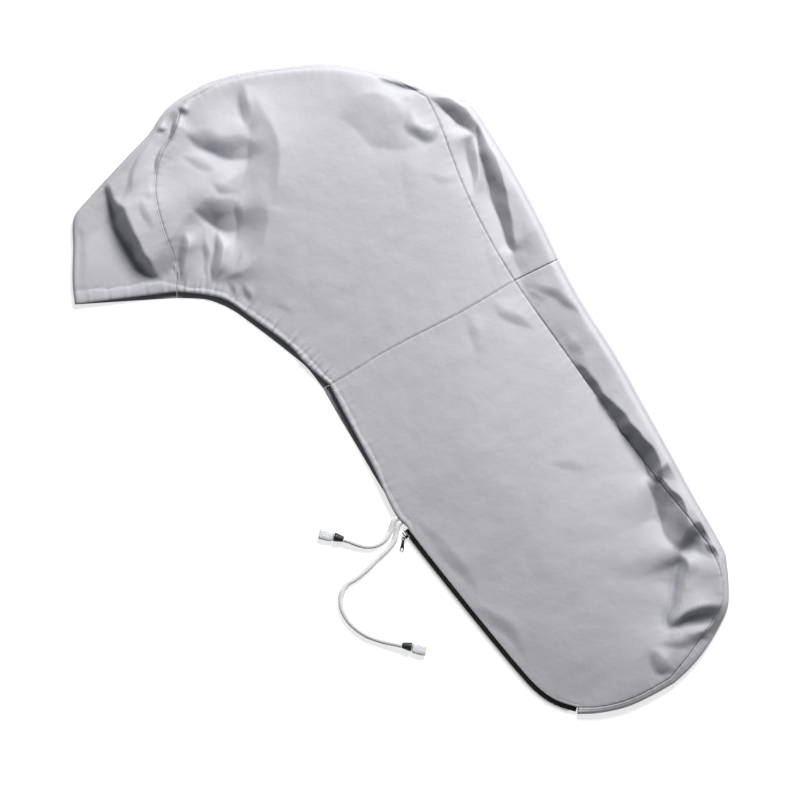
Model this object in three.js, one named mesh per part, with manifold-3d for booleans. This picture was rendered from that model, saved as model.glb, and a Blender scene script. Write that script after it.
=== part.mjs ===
// Outboard motor cover, laid on its side on a flat surface with its mouth left open.
//
// A head that goes over the cowl and a leg that goes over the shaft. Each has an upper and a lower side
// panel, and a gusset that is folded in two along the outer edge of the cover. A zip closes the front of the
// leg, and both ends of the drawcord come out of the hem beside its slider.
//
// Millimetres, +Z up. The surface is z = 0, and the middle of the cover's outline is x = 0, y = 0.

import * as THREE from 'three';
import { mergeVertices } from 'three/addons/utils/BufferGeometryUtils.js';
import Module from 'manifold-3d';

const manifold = await Module();
manifold.setup();

// Driving sizes

const CLOTH = 2; // thickness of the coated cloth with its seam allowances
const FOLD_RADIUS = 6; // outer radius where the gusset is folded at the edge of the cover
const SEAM_GAP = 0.5; // space kept between two pieces along their seam
const MOUTH_LIFT = 5; // how far the upper hem stands open along the leg
const MOUTH_REACH = 60; // how far that lift is felt across the leg
const CREST_BLEND = 30; // how softly the rise from the mouth meets the rise from the outer edge
const FLOOR_BLEND = 6; // how softly a deep trough flattens out on the layer below
const ZIP = {
  tape: 1, // thickness of a tape
  teethAt: 8, // distance from the upper panel's edge to the closed row of teeth
  teethWidth: 4.4,
  teethHeight: 3,
  middle: 6, // height of the teeth above the surface
  start: 16, // where the teeth begin, along the zip from the end of the mouth
  stop: 16, // where they end before the toe
  steps: 24,
};
const CORD_DIAMETER = 10; // soft round drawcord
const CORD_SIDES = 10;
const CORD_STEP = 2 * CORD_DIAMETER; // length of one straight step of the cord's tube
const FOLD_STEPS = 12; // straight steps along the path of one fold

// How finely each direction of the cloth is divided

const STEPS = {
  nose: 22,
  crown: 16,
  back: 15,
  leg: 26,
  foot: 9,
  toe: 9,
  gussetAcross: 6,
  foldArc: 3,
};

// The cover's outer edge, seam by seam. Each stretch has the fold at the edge of the cover, the seam of the
// gusset with the upper panel, and its seam with the lower panel. All run clockwise from the nose to the zip.

const STRETCHES = {
  nose: {
    edge: [[-586, 152], [-590, 190], [-589, 250], [-587, 310], [-563, 341], [-536, 371], [-487, 423],
      [-451, 461], [-428, 496], [-404, 518], [-352, 549]],
    seam: [[-402, 175], [-404, 229], [-424, 290], [-438, 358], [-429, 416], [-400, 473], [-390, 509],
      [-356, 529], [-321, 550]],
    under: [[-402, 164], [-404, 229], [-418, 290], [-415, 345], [-380, 395], [-340, 425], [-290, 445]],
  },
  crown: {
    edge: [[-352, 549], [-289, 568], [-183, 582], [-127, 585], [-64, 577], [33, 551], [96, 533],
      [125, 515]],
    seam: [[-321, 550], [-253, 565], [-183, 574], [-127, 575], [-64, 566], [-10, 551], [46, 522]],
    under: [[-290, 445], [-230, 458], [-140, 460], [-60, 445], [-5, 420]],
  },
  back: {
    edge: [[125, 515], [143, 491], [177, 439], [215, 374], [246, 316], [262, 284], [285, 234]],
    seam: [[46, 522], [66, 484], [91, 418], [120, 346], [166, 257], [204, 194]],
    under: [[-5, 420], [50, 385], [100, 330], [160, 257], [204, 194]],
  },
  leg: {
    edge: [[285, 234], [321, 167], [389, 60], [431, -16], [470, -86], [532, -200], [568, -263], [585, -295]],
    seam: [[204, 194], [253, 124], [310, 45], [397, -76], [462, -164], [512, -227], [550, -277]],
    under: [[204, 194], [253, 124], [310, 45], [397, -76], [450, -164], [478, -240], [490, -300]],
  },
  foot: {
    edge: [[585, -295], [590, -344], [589, -391], [573, -428], [546, -472], [519, -504], [492, -529]],
    seam: [[550, -277], [572, -326], [576, -380], [555, -423], [519, -476], [484, -519]],
    under: [[490, -300], [495, -350], [490, -400], [470, -440], [440, -470], [420, -485]],
  },
  toe: {
    edge: [[492, -529], [449, -553], [406, -572], [354, -583], [318, -584.5]],
    seam: [[484, -519], [444, -542], [404, -560], [355, -571], [320, -572]],
    under: [[420, -485], [390, -500], [350, -512], [322, -520]],
  },
};

// The inner curve of the cover: the hem of the mouth, then the zip down to the toe

const UPPER_HEM = {
  head: [[-402, 175], [-348, 169], [-314, 160], [-269, 129], [-199, 77], [-168, 43], [-127, 7]],
  leg: [[-127, 7], [-105, -36], [-75, -92], [-44, -151], [-21, -203], [-6, -230], [13, -249]],
  zip: [[13, -249], [55, -303], [138, -407], [214, -499], [246, -534], [270, -553], [293, -564], [320, -572]],
};
const LOWER_HEM = {
  head: [[-402, 164], [-350, 161], [-325, 153], [-299, 140], [-271, 120], [-206, 70], [-168, 38], [-139, 1]],
  leg: [[-139, 1], [-109, -58], [-79, -114], [-48, -173], [-32, -202], [-14, -232], [9, -252]],
  zip: [[9, -252], [50, -307], [133, -411], [210, -503], [242, -538], [267, -557], [290, -567], [313, -574]],
};
const CROSS_SEAM = {
  upper: [[-127, 7], [-1, 81], [111, 139], [204, 194]],
  lower: [[-139, 1], [-1, 81], [111, 139], [204, 194]],
};

// How the cloth rises round each place: its slope from the mouth or zip, its first slope from the outer edge,
// and the height that it would reach far from that edge

const SLOPES = [
  { region: 'nose', x: -500, y: 280, reach: 90, fromMouth: 0.36, fromEdge: 1.0, top: 62 },
  { region: 'cheek', x: -330, y: 350, reach: 100, fromMouth: 0.2, fromEdge: 1.1, top: 66 },
  { region: 'head', x: -130, y: 330, reach: 160, fromMouth: 0.14, fromEdge: 1.1, top: 66 },
  { region: 'back of the head', x: 120, y: 280, reach: 140, fromMouth: 0.12, fromEdge: 1.1, top: 58 },
  { region: 'top of the leg', x: 100, y: 0, reach: 150, fromMouth: 0.11, fromEdge: 1.1, top: 48 },
  { region: 'middle of the leg', x: 260, y: -220, reach: 150, fromMouth: 0.12, fromEdge: 1.1, top: 46 },
  { region: 'foot', x: 430, y: -410, reach: 120, fromMouth: 0.12, fromEdge: 1.0, top: 42 },
];

// The main folds: a ridge where the height is positive and a trough where it is negative. Each may fall off
// further on the left of its path than on the right, and dies away over a share of its length at both ends.

const FOLDS = [
  { name: 'lip of the deep fold round the nose', height: 17, left: 44, right: 18, start: 0.3, end: 0.25,
    path: [[-532, 373], [-520, 352], [-507, 334], [-491, 328], [-480, 311], [-470, 279], [-456, 239],
      [-440, 205], [-431, 194]] },
  { name: 'foot of the deep fold round the nose', height: -32, left: 22, right: 14, start: 0.2, end: 0.2,
    path: [[-532, 373], [-525, 333], [-516, 299], [-507, 265], [-490, 236], [-470, 212], [-446, 198],
      [-431, 193]] },
  { name: 'valley along the nose seam', height: -11, left: 12, right: 9, start: 0.3, end: 0.25,
    path: [[-394, 490], [-406, 452], [-427, 416], [-437, 385], [-439, 366]] },
  { name: 'ridge down from the crown', height: 14, left: 22, right: 30, start: 0.15, end: 0.3,
    path: [[-269, 556], [-271, 529], [-275, 498], [-276, 461]] },
  { name: 'ridge over the upper pocket', height: 10, left: 24, right: 12, start: 0.3, end: 0.2,
    path: [[-394, 513], [-370, 491], [-327, 470], [-276, 464]] },
  { name: 'upper pocket of the cheek', height: -17, left: 26, right: 14, start: 0.5, end: 0.2,
    path: [[-347, 424], [-313, 413], [-275, 414]] },
  { name: 'lower pocket of the cheek', height: -20, left: 24, right: 12, start: 0.45, end: 0.2,
    path: [[-350, 299], [-320, 285], [-293, 287]] },
  { name: 'right side of the broad shade', height: 9, left: 44, right: 44, start: 0.3, end: 0.25,
    path: [[-263, 542], [-249, 519], [-226, 459], [-215, 412], [-220, 365], [-240, 299], [-280, 239],
      [-316, 193]] },
  { name: 'third gather over the hem', height: -14, left: 9, right: 11, start: 0.35, end: 0.1,
    path: [[-383, 273], [-374, 232], [-380, 205], [-390, 180]] },
  { name: 'roll beside the third gather', height: 8, left: 9, right: 9, start: 0.4, end: 0.1,
    path: [[-360, 262], [-356, 220], [-362, 182]] },
  { name: 'fifth gather over the hem', height: -16, left: 13, right: 10, start: 0.35, end: 0.1,
    path: [[-327, 290], [-336, 259], [-338, 220], [-340, 180]] },
  { name: 'soft hollow under the crown', height: -11, left: 50, right: 22, start: 0.3, end: 0.3,
    path: [[-110, 500], [-60, 462], [-19, 432], [34, 430]] },
  { name: 'curled fold by the back seam', height: -11, left: 9, right: 11, start: 0.25, end: 0.4,
    path: [[11, 490], [14, 461], [31, 448], [60, 439]] },
  { name: 'rolled edge of the crown', height: 10, left: 10, right: 24, start: 0.3, end: 0.15,
    path: [[10, 540], [36, 530], [54, 517], [71, 498], [95, 477], [128, 450]] },
  { name: 'pocket beyond the rolled edge', height: -24, left: 22, right: 9, start: 0.3, end: 0.12,
    path: [[40, 531], [58, 520], [77, 503], [99, 484], [124, 460]] },
  { name: 'ridge between the valleys', height: 11, left: 9, right: 13, start: 0.2, end: 0.35,
    path: [[132, 499], [132, 454], [137, 412], [140, 371], [136, 346]] },
  { name: 'wide valley down the back', height: -18, left: 18, right: 11, start: 0.15, end: 0.15,
    path: [[136, 490], [148, 430], [161, 371], [179, 299], [192, 248]] },
  { name: 'far side of the wide valley', height: 9, left: 28, right: 12, start: 0.2, end: 0.2,
    path: [[140, 494], [155, 454], [173, 412], [191, 358], [203, 299], [208, 250]] },
  { name: 'drag fold on the gusset', height: -7, left: 12, right: 9, start: 0.3, end: 0.4,
    path: [[235, 200], [280, 182], [330, 140]] },
  { name: 'drag fold under the cross seam', height: -7, left: 12, right: 9, start: 0.3, end: 0.4,
    path: [[162, 163], [174, 142], [215, 122], [250, 113]] },
  { name: 'long valley beside the leg seam', height: -30, left: 28, right: 10, start: 0.25, end: 0.1,
    path: [[290, 88], [309, 50], [339, 4], [367, -32], [395, -70], [424, -114], [453, -164]] },
  { name: 'crest beyond the valley', height: 10, left: 24, right: 16, start: 0.3, end: 0.3,
    path: [[296, 101], [354, 36], [395, -29], [430, -80], [453, -112], [468, -142]] },
  { name: 'dark pocket above the foot', height: -26, left: 24, right: 12, start: 0.15, end: 0.12,
    path: [[449, -165], [469, -226], [503, -293]] },
  { name: 'edge beyond the pocket', height: 9, left: 11, right: 11, start: 0.25, end: 0.2,
    path: [[469, -148], [497, -185], [518, -226], [508, -262]] },
  { name: 'foot of the facet', height: -10, left: 15, right: 9, start: 0.2, end: 0.15,
    path: [[500, -297], [535, -296], [582, -297]] },
  { name: 'valley down the foot', height: -13, left: 14, right: 16, start: 0.15, end: 0.15,
    path: [[500, -302], [495, -345], [482, -400], [478, -424]] },
  { name: 'fold across the foot', height: -14, left: 9, right: 13, start: 0.15, end: 0.2,
    path: [[586, -385], [550, -386], [518, -402], [484, -430]] },
  { name: 'second fold across the foot', height: -8, left: 9, right: 14, start: 0.3, end: 0.2,
    path: [[552, -434], [493, -463], [453, -484]] },
];

// Drawcord routes, from the hem to the stopper. The cord lies on the surface.

const CORDS = {
  short: [[-6.6, -230.6, 8.4], [-10.8, -235.4, 8.2], [-14.5, -243, 7.2], [-18, -254, 5.5], [-24, -266, 5.3],
    [-33, -275.5, 5.3], [-46, -281.5, 5.3], [-60, -283, 5.3], [-76, -279.5, 6.5], [-90, -274, 8.3],
    [-97, -272, 8.5], [-102, -270.6, 8.5]],
  long: [[1, -238.2, 8.4], [-3, -243, 8.2], [-6, -250.5, 7.2], [-8, -261, 5.5], [-12, -274, 5.3],
    [-22, -287.5, 5.3], [-35, -299.5, 5.3], [-48, -312, 5.3], [-64, -328, 5.3], [-82, -342, 5.3],
    [-96, -351, 5.3], [-105, -366, 5.3], [-107, -382, 5.3], [-104, -398, 5.3], [-94, -416, 5.3],
    [-78, -432, 5.3], [-57, -445, 5.3], [-34, -453, 5.6], [-16, -457, 7.5], [-4, -459.4, 8.5],
    [2, -460.6, 8.5]],
};
const SLIDER = {
  length: 15, height: 8.8, rear: 5, depth: 6.5, bailReach: 4.9, bailHeight: 7.4, bailWidth: 1.8, bailBar: 1.2,
};
const PULL = {
  eye: 3.5, eyeHole: 1.9, length: 28, neck: 4, width: 7.6, ring: 1.9, thickness: 1.8,
  eyeHeight: 4.3, droop: 5, turn: -98,
};
const STOPPER = { length: 18, narrow: 5.2, wide: 8.3, sides: 20 };
const CORD_END = { length: 27, width: 23, height: 12, corner: 5, neck: 4 };

// Materials

function finish(name, color, roughness) {
  return new THREE.MeshStandardMaterial({ name, color, roughness, metalness: 0 });
}

const MATERIALS = {
  upperCloth: finish('cloth', 0xb4b6bb, 0.7),
  gussetCloth: finish('gusset cloth', 0xa6a8ae, 0.7),
  lowerCloth: finish('under cloth', 0x96989e, 0.75),
  zip: finish('zip', 0x17171a, 0.5),
  cord: finish('cord', 0xf1f1f0, 0.85),
  stopper: finish('stopper', 0x101014, 0.35),
  end: finish('cord end', 0xe6e7e8, 0.4),
};

// Curves in the plane of the surface

const point = ([x, y]) => new THREE.Vector2(x, y);

// Smooth open curve through rows of x, y and, for a cord, z
function smoothCurve(rows) {
  const spots = rows.map(([x, y, z = 0]) => new THREE.Vector3(x, y, z));
  return new THREE.CatmullRomCurve3(spots, false, 'centripetal');
}

function samples(rows, steps) {
  return smoothCurve(rows).getSpacedPoints(steps).map(({ x, y }) => new THREE.Vector2(x, y));
}

// Several stretches one after another, without doubling the point where they meet
function joined(names, line) {
  return names.flatMap((name, index) => samples(STRETCHES[name][line], STEPS[name]).slice(index ? 1 : 0));
}

// Distance from a spot to a path, the share of the path at which it lies, and on which side
function distanceToPath(spot, path) {
  let nearest = Infinity;
  let along = 0;
  let onLeft = true;
  const total = path.length - 1;
  for (let i = 0; i < total; i += 1) {
    const side = path[i + 1].clone().sub(path[i]);
    const reach = spot.clone().sub(path[i]).dot(side) / Math.max(side.lengthSq(), 1e-9);
    const share = THREE.MathUtils.clamp(reach, 0, 1);
    const distance = path[i].clone().addScaledVector(side, share).distanceTo(spot);
    if (distance < nearest) {
      nearest = distance;
      along = (i + share) / total;
      onLeft = side.cross(spot.clone().sub(path[i])) >= 0;
    }
  }
  return { distance: nearest, along, onLeft };
}

const EVERY_STRETCH = Object.keys(STRETCHES);
const OUTER_EDGE = joined(EVERY_STRETCH, 'edge');
const NOSE_CORNER = STRETCHES.nose.edge[0];
const MOUTH = [NOSE_CORNER, ...UPPER_HEM.head, ...UPPER_HEM.leg, ...UPPER_HEM.zip].map(point);
const LEG_MOUTH = UPPER_HEM.leg.map(point);
const FOLD_PATHS = FOLDS.map((fold) => ({ ...fold, path: samples(fold.path, FOLD_STEPS) }));

// Height of the cloth's outer face above its fold at any spot of the cover

function tentHeight(spot, toMouth, toEdge) {
  const sums = { fromMouth: 0, fromEdge: 0, top: 0, weights: 1e-9 };
  for (const place of SLOPES) {
    const weight = Math.exp(-((spot.x - place.x) ** 2 + (spot.y - place.y) ** 2) / (2 * place.reach ** 2));
    sums.fromMouth += weight * place.fromMouth;
    sums.fromEdge += weight * place.fromEdge;
    sums.top += weight * place.top;
    sums.weights += weight;
  }
  const top = sums.top / sums.weights;
  const mouthSide = (toMouth * sums.fromMouth) / sums.weights;
  const edgeSide = top * (1 - Math.exp((-toEdge * sums.fromEdge) / sums.weights / top));
  const share = THREE.MathUtils.clamp(0.5 + (0.5 * (edgeSide - mouthSide)) / CREST_BLEND, 0, 1);
  return THREE.MathUtils.lerp(edgeSide, mouthSide, share) - CREST_BLEND * share * (1 - share);
}

function foldHeight(spot) {
  let sum = 0;
  for (const { path, height, left, right, start, end } of FOLD_PATHS) {
    const { distance, along, onLeft } = distanceToPath(spot, path);
    const ends = THREE.MathUtils.smoothstep(along, 0, start) * THREE.MathUtils.smoothstep(1 - along, 0, end);
    sum += height * ends * Math.exp(-((distance / (onLeft ? left : right)) ** 2));
  }
  return sum;
}

function rise(spot) {
  const toEdge = distanceToPath(spot, OUTER_EDGE).distance;
  const toMouth = distanceToPath(spot, MOUTH).distance;
  const toLegMouth = distanceToPath(spot, LEG_MOUTH);
  const fade = Math.min(1, toEdge / 25) * Math.min(1, 0.15 + toMouth / 40);
  const opened = Math.sin(Math.PI * toLegMouth.along) * Math.exp(-toLegMouth.distance / MOUTH_REACH);
  const height = tentHeight(spot, toMouth, toEdge) + MOUTH_LIFT * opened + foldHeight(spot) * fade;
  return FLOOR_BLEND * Math.log1p(Math.exp((height - 2) / FLOOR_BLEND));
}

// Closed sheet between an outer and an inner grid of points with the same rows and columns

function sheet(outer, inner) {
  const rows = outer.length;
  const columns = outer[0].length;
  const positions = [...outer.flat(), ...inner.flat()].flatMap(({ x, y, z }) => [x, y, z]);
  const top = (row, column) => row * columns + column;
  const bottom = (row, column) => rows * columns + top(row, column);
  const faces = [];
  const quad = (a, b, c, d) => faces.push(a, b, c, a, c, d);
  for (let r = 0; r < rows - 1; r += 1) {
    for (let c = 0; c < columns - 1; c += 1) {
      quad(top(r, c), top(r, c + 1), top(r + 1, c + 1), top(r + 1, c));
      quad(bottom(r, c), bottom(r + 1, c), bottom(r + 1, c + 1), bottom(r, c + 1));
    }
    quad(top(r, 0), top(r + 1, 0), bottom(r + 1, 0), bottom(r, 0));
    quad(top(r + 1, columns - 1), top(r, columns - 1), bottom(r, columns - 1), bottom(r + 1, columns - 1));
  }
  for (let c = 0; c < columns - 1; c += 1) {
    quad(top(0, c + 1), top(0, c), bottom(0, c), bottom(0, c + 1));
    quad(top(rows - 1, c), top(rows - 1, c + 1), bottom(rows - 1, c + 1), bottom(rows - 1, c));
  }
  return outwardFaces(positions, faces);
}

// The same faces, turned where needed so that they all look out of the solid
function outwardFaces(positions, faces) {
  const corner = (index) => new THREE.Vector3().fromArray(positions, 3 * index);
  let volume = 0;
  for (let i = 0; i < faces.length; i += 3) {
    const [a, b, c] = [faces[i], faces[i + 1], faces[i + 2]].map(corner);
    volume += a.dot(b.cross(c));
  }
  if (volume < 0) {
    for (let i = 0; i < faces.length; i += 3) {
      [faces[i + 1], faces[i + 2]] = [faces[i + 2], faces[i + 1]];
    }
  }
  const geometry = new THREE.BufferGeometry();
  geometry.setAttribute('position', new THREE.Float32BufferAttribute(positions, 3));
  geometry.setIndex(faces);
  geometry.computeVertexNormals();
  return geometry;
}

// Upper panels: four boundary lines span a grid, and the height of the cloth lifts it

function spannedGrid({ hem, seam, start, end }) {
  const columns = hem.length - 1;
  const rows = start.length - 1;
  return hem.map((low, i) => start.map((side, j) => {
    const u = i / columns;
    const v = j / rows;
    const spot = new THREE.Vector2();
    spot.addScaledVector(low, 1 - v).addScaledVector(seam[i], v);
    spot.addScaledVector(side, 1 - u).addScaledVector(end[j], u);
    spot.addScaledVector(hem[0], -(1 - u) * (1 - v)).addScaledVector(hem[columns], -u * (1 - v));
    spot.addScaledVector(seam[0], -(1 - u) * v).addScaledVector(seam[columns], -u * v);
    return spot;
  }));
}

function upperPanel(lines) {
  const grid = spannedGrid(lines);
  const outer = grid.map((row) => row.map((spot) => {
    return new THREE.Vector3(spot.x, spot.y, 2 * FOLD_RADIUS + rise(spot));
  }));
  const inner = outer.map((row) => row.map(({ x, y, z }) => new THREE.Vector3(x, y, z - CLOTH)));
  return sheet(outer, inner);
}

// Lower panels: flat on the surface

function lowerPanel(outline) {
  return new THREE.ExtrudeGeometry(new THREE.Shape(outline), { depth: CLOTH, bevelEnabled: false });
}

// A gusset's section: down from the upper seam, round the fold, and back under to the lower seam

function gussetSection(seam, edge, under) {
  const inward = seam.clone().sub(edge);
  const depth = inward.length() - SEAM_GAP;
  inward.normalize();
  const underneath = under.clone().sub(edge);
  const underDepth = underneath.length() - SEAM_GAP;
  underneath.normalize();
  const outer = [];
  const inner = [];
  const place = (line, direction, distance, z) => {
    const spot = edge.clone().addScaledVector(direction, distance);
    line.push(new THREE.Vector3(spot.x, spot.y, z));
  };
  for (let k = 0; k < STEPS.gussetAcross; k += 1) {
    const distance = FOLD_RADIUS + (depth - FOLD_RADIUS) * (1 - k / STEPS.gussetAcross);
    const z = 2 * FOLD_RADIUS + rise(edge.clone().addScaledVector(inward, distance));
    place(outer, inward, distance, z);
    place(inner, inward, distance, z - CLOTH);
  }
  const innerRadius = FOLD_RADIUS - CLOTH;
  for (let k = 0; k <= 2 * STEPS.foldArc; k += 1) {
    const angle = (Math.PI / 2) * (1 - k / STEPS.foldArc);
    const side = k <= STEPS.foldArc ? inward : underneath;
    const cosine = Math.cos(angle);
    const spot = edge.clone().addScaledVector(side, FOLD_RADIUS);
    const raised = rise(spot) * Math.max(0, Math.sin(angle));
    place(outer, side, FOLD_RADIUS * (1 - cosine), FOLD_RADIUS * (1 + Math.sin(angle)) + raised);
    const innerHeight = FOLD_RADIUS + innerRadius * Math.sin(angle) + raised;
    place(inner, side, FOLD_RADIUS - innerRadius * cosine, innerHeight);
  }
  place(outer, underneath, underDepth, 0);
  place(inner, underneath, underDepth, CLOTH);
  return { outer, inner };
}

function gusset(names) {
  const edge = joined(names, 'edge');
  const seam = joined(names, 'seam');
  const under = joined(names, 'under');
  const sections = edge.map((spot, index) => gussetSection(seam[index], spot, under[index]));
  return sheet(sections.map(({ outer }) => outer), sections.map(({ inner }) => inner));
}

// Zip: the tapes run from the panels' edges to the teeth, which lie at the edge of the cover

function zipStations() {
  const line = smoothCurve(UPPER_HEM.zip);
  const length = line.getLength();
  return Array.from({ length: ZIP.steps + 1 }, (_, index) => {
    const distance = THREE.MathUtils.lerp(ZIP.start, length - ZIP.stop, index / ZIP.steps);
    const spot = line.getPointAt(distance / length);
    const along = line.getTangentAt(distance / length);
    return { spot: new THREE.Vector2(spot.x, spot.y), outward: new THREE.Vector2(along.y, -along.x) };
  });
}

function band(profile, stations) {
  const line = (points) => stations.map(({ spot, outward }) => points.map(([distance, z]) => {
    const place = spot.clone().addScaledVector(outward, distance);
    return new THREE.Vector3(place.x, place.y, z);
  }));
  return sheet(line(profile.outer), line(profile.inner));
}

// The profiles list each corner's distance out from the upper panel's edge and its height
const UPPER_TAPE = {
  outer: [[SEAM_GAP, 2 * FOLD_RADIUS - 0.5], [ZIP.teethAt - SEAM_GAP, ZIP.middle + 2]],
  inner: [[SEAM_GAP, 2 * FOLD_RADIUS - 0.5 - ZIP.tape], [ZIP.teethAt - SEAM_GAP, ZIP.middle + 2 - ZIP.tape]],
};
const LOWER_TAPE = {
  outer: [[ZIP.teethAt - 1, 1.6], [ZIP.teethAt + 1.7, 3.6]],
  inner: [[ZIP.teethAt - 1, 1.6 - ZIP.tape], [ZIP.teethAt + 1.7, 3.6 - ZIP.tape]],
};
const TEETH = {
  outer: [[ZIP.teethAt, ZIP.middle + ZIP.teethHeight / 2],
    [ZIP.teethAt + ZIP.teethWidth, ZIP.middle + ZIP.teethHeight / 2 - 1]],
  inner: [[ZIP.teethAt, ZIP.middle - ZIP.teethHeight / 2],
    [ZIP.teethAt + ZIP.teethWidth, ZIP.middle - ZIP.teethHeight / 2 - 1]],
};

// Slider: a shield-shaped body that stands on edge at the top of the teeth, with an upright bail on its outer
// face. The pull's eye hangs round the bail, and the pull lies out over the surface.

function joinedSolid(first, second) {
  const solid = (geometry) => {
    geometry.deleteAttribute('normal');
    geometry.deleteAttribute('uv');
    const merged = mergeVertices(geometry);
    return new manifold.Manifold(new manifold.Mesh({
      numProp: 3,
      vertProperties: new Float32Array(merged.attributes.position.array),
      triVerts: new Uint32Array(merged.index.array),
    }));
  };
  const { vertProperties, triVerts } = solid(first).add(solid(second)).getMesh();
  return outwardFaces([...vertProperties], [...triVerts]);
}

function sliderBody() {
  const { length, height, rear, depth, bailReach, bailHeight, bailWidth, bailBar } = SLIDER;
  const shield = new THREE.Shape();
  shield.moveTo(-length / 2 + 1, -rear / 2);
  shield.quadraticCurveTo(-length / 2 - 1, 0, -length / 2 + 1, rear / 2);
  shield.lineTo(length * 0.15, height / 2);
  shield.quadraticCurveTo(length * 0.4, height / 2, length / 2, rear / 2);
  shield.lineTo(length / 2, -rear / 2);
  shield.quadraticCurveTo(length * 0.4, -height / 2, length * 0.15, -height / 2);
  shield.closePath();
  const body = new THREE.ExtrudeGeometry(shield, { depth, bevelEnabled: false, curveSegments: 6 });
  const half = bailHeight / 2;
  const bail = new THREE.Shape([
    [-1, -half], [bailReach, -half], [bailReach, half], [-1, half], [-1, half - bailBar],
    [bailReach - bailBar, half - bailBar], [bailReach - bailBar, -half + bailBar], [-1, -half + bailBar],
  ].map(point));
  const hoop = new THREE.ExtrudeGeometry(bail, { depth: bailWidth, bevelEnabled: false });
  hoop.rotateY(-Math.PI / 2);
  hoop.translate(length * 0.3, 0, depth);
  return joinedSolid(body, hoop);
}

function pullTab() {
  const { eye, eyeHole, length, neck, width, ring, thickness } = PULL;
  const tab = new THREE.Shape();
  tab.absarc(0, 0, eye, Math.PI / 4, 1.75 * Math.PI, false);
  tab.lineTo(eye + 1, -neck / 2);
  tab.lineTo(length - width, -width / 2);
  tab.absarc(length - width, 0, width / 2, -Math.PI / 2, Math.PI / 2, false);
  tab.lineTo(eye + 1, neck / 2);
  tab.closePath();
  [[0, eyeHole], [length - width, ring]].forEach(([x, radius]) => {
    const hole = new THREE.Path();
    hole.absarc(x, 0, radius, 0, 2 * Math.PI, true);
    tab.holes.push(hole);
  });
  return new THREE.ExtrudeGeometry(tab, { depth: thickness, bevelEnabled: false, curveSegments: 10 });
}

// Drawcord: a plain tube along its route, then a bell and a flat end piece on the same line

function cordTube(route) {
  const path = smoothCurve(route);
  const section = new THREE.Shape();
  section.absarc(0, 0, CORD_DIAMETER / 2, 0, 2 * Math.PI, false);
  const steps = Math.ceil(path.getLength() / CORD_STEP);
  return new THREE.ExtrudeGeometry(section, { steps, extrudePath: path, curveSegments: CORD_SIDES / 2 });
}

function stopperBell() {
  const { length, narrow, wide, sides } = STOPPER;
  const profile = [
    [0, 0], [narrow - 0.8, 0], [narrow, 0.8], [wide, length - 1], [wide - 1, length], [0, length],
  ];
  return new THREE.LatheGeometry(profile.map(point), sides);
}

function cordEnd() {
  const { length, width, height, corner, neck } = CORD_END;
  const half = width / 2;
  const slab = new THREE.Shape();
  slab.moveTo(0, -half + neck);
  slab.quadraticCurveTo(1, -half, corner + 2, -half);
  slab.lineTo(length - corner, -half);
  slab.absarc(length - corner, -half + corner, corner, -Math.PI / 2, 0, false);
  slab.absarc(length - corner, half - corner, corner, 0, Math.PI / 2, false);
  slab.lineTo(corner + 2, half);
  slab.quadraticCurveTo(1, half, 0, half - neck);
  slab.closePath();
  return new THREE.ExtrudeGeometry(slab, { depth: height, bevelEnabled: false, curveSegments: 6 });
}

// The whole cover

const cover = new THREE.Group();

function piece(name, geometry, material, parent = cover) {
  const mesh = new THREE.Mesh(geometry, material);
  mesh.name = name;
  parent.add(mesh);
  return mesh;
}

function addHead() {
  const names = ['nose', 'crown', 'back'];
  const columns = STEPS.crown + STEPS.back;
  piece('head_panel_upper', upperPanel({
    hem: samples(UPPER_HEM.head, columns),
    seam: joined(['crown', 'back'], 'seam'),
    start: samples(STRETCHES.nose.seam, STEPS.nose),
    end: samples(CROSS_SEAM.upper, STEPS.nose),
  }), MATERIALS.upperCloth);
  piece('head_panel_lower', lowerPanel([
    ...samples(LOWER_HEM.head, columns).reverse(),
    ...joined(names, 'under').slice(1),
    ...samples(CROSS_SEAM.lower, STEPS.nose).reverse().slice(1, -1),
  ]), MATERIALS.lowerCloth);
  piece('head_gusset', gusset(names), MATERIALS.gussetCloth);
}

function addLeg() {
  const names = ['leg', 'foot', 'toe'];
  const across = STEPS.foot + STEPS.toe;
  const legParts = new THREE.Group();
  legParts.position.set(SEAM_GAP * 0.5, -SEAM_GAP * 0.87, 0);
  cover.add(legParts);
  const hem = [...samples(UPPER_HEM.leg, 12), ...samples(UPPER_HEM.zip, STEPS.leg - 12).slice(1)];
  piece('leg_panel_upper', upperPanel({
    hem,
    seam: joined(['leg'], 'seam'),
    start: samples(CROSS_SEAM.upper, across),
    end: joined(['foot', 'toe'], 'seam').reverse(),
  }), MATERIALS.upperCloth, legParts);
  piece('leg_panel_lower', lowerPanel([
    ...samples(LOWER_HEM.zip, STEPS.leg - 12).reverse(),
    ...samples(LOWER_HEM.leg, 12).reverse().slice(1),
    ...samples(CROSS_SEAM.lower, STEPS.nose).slice(1),
    ...joined(names, 'under').slice(1),
  ]), MATERIALS.lowerCloth, legParts);
  piece('leg_gusset', gusset(names), MATERIALS.gussetCloth, legParts);
}

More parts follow.
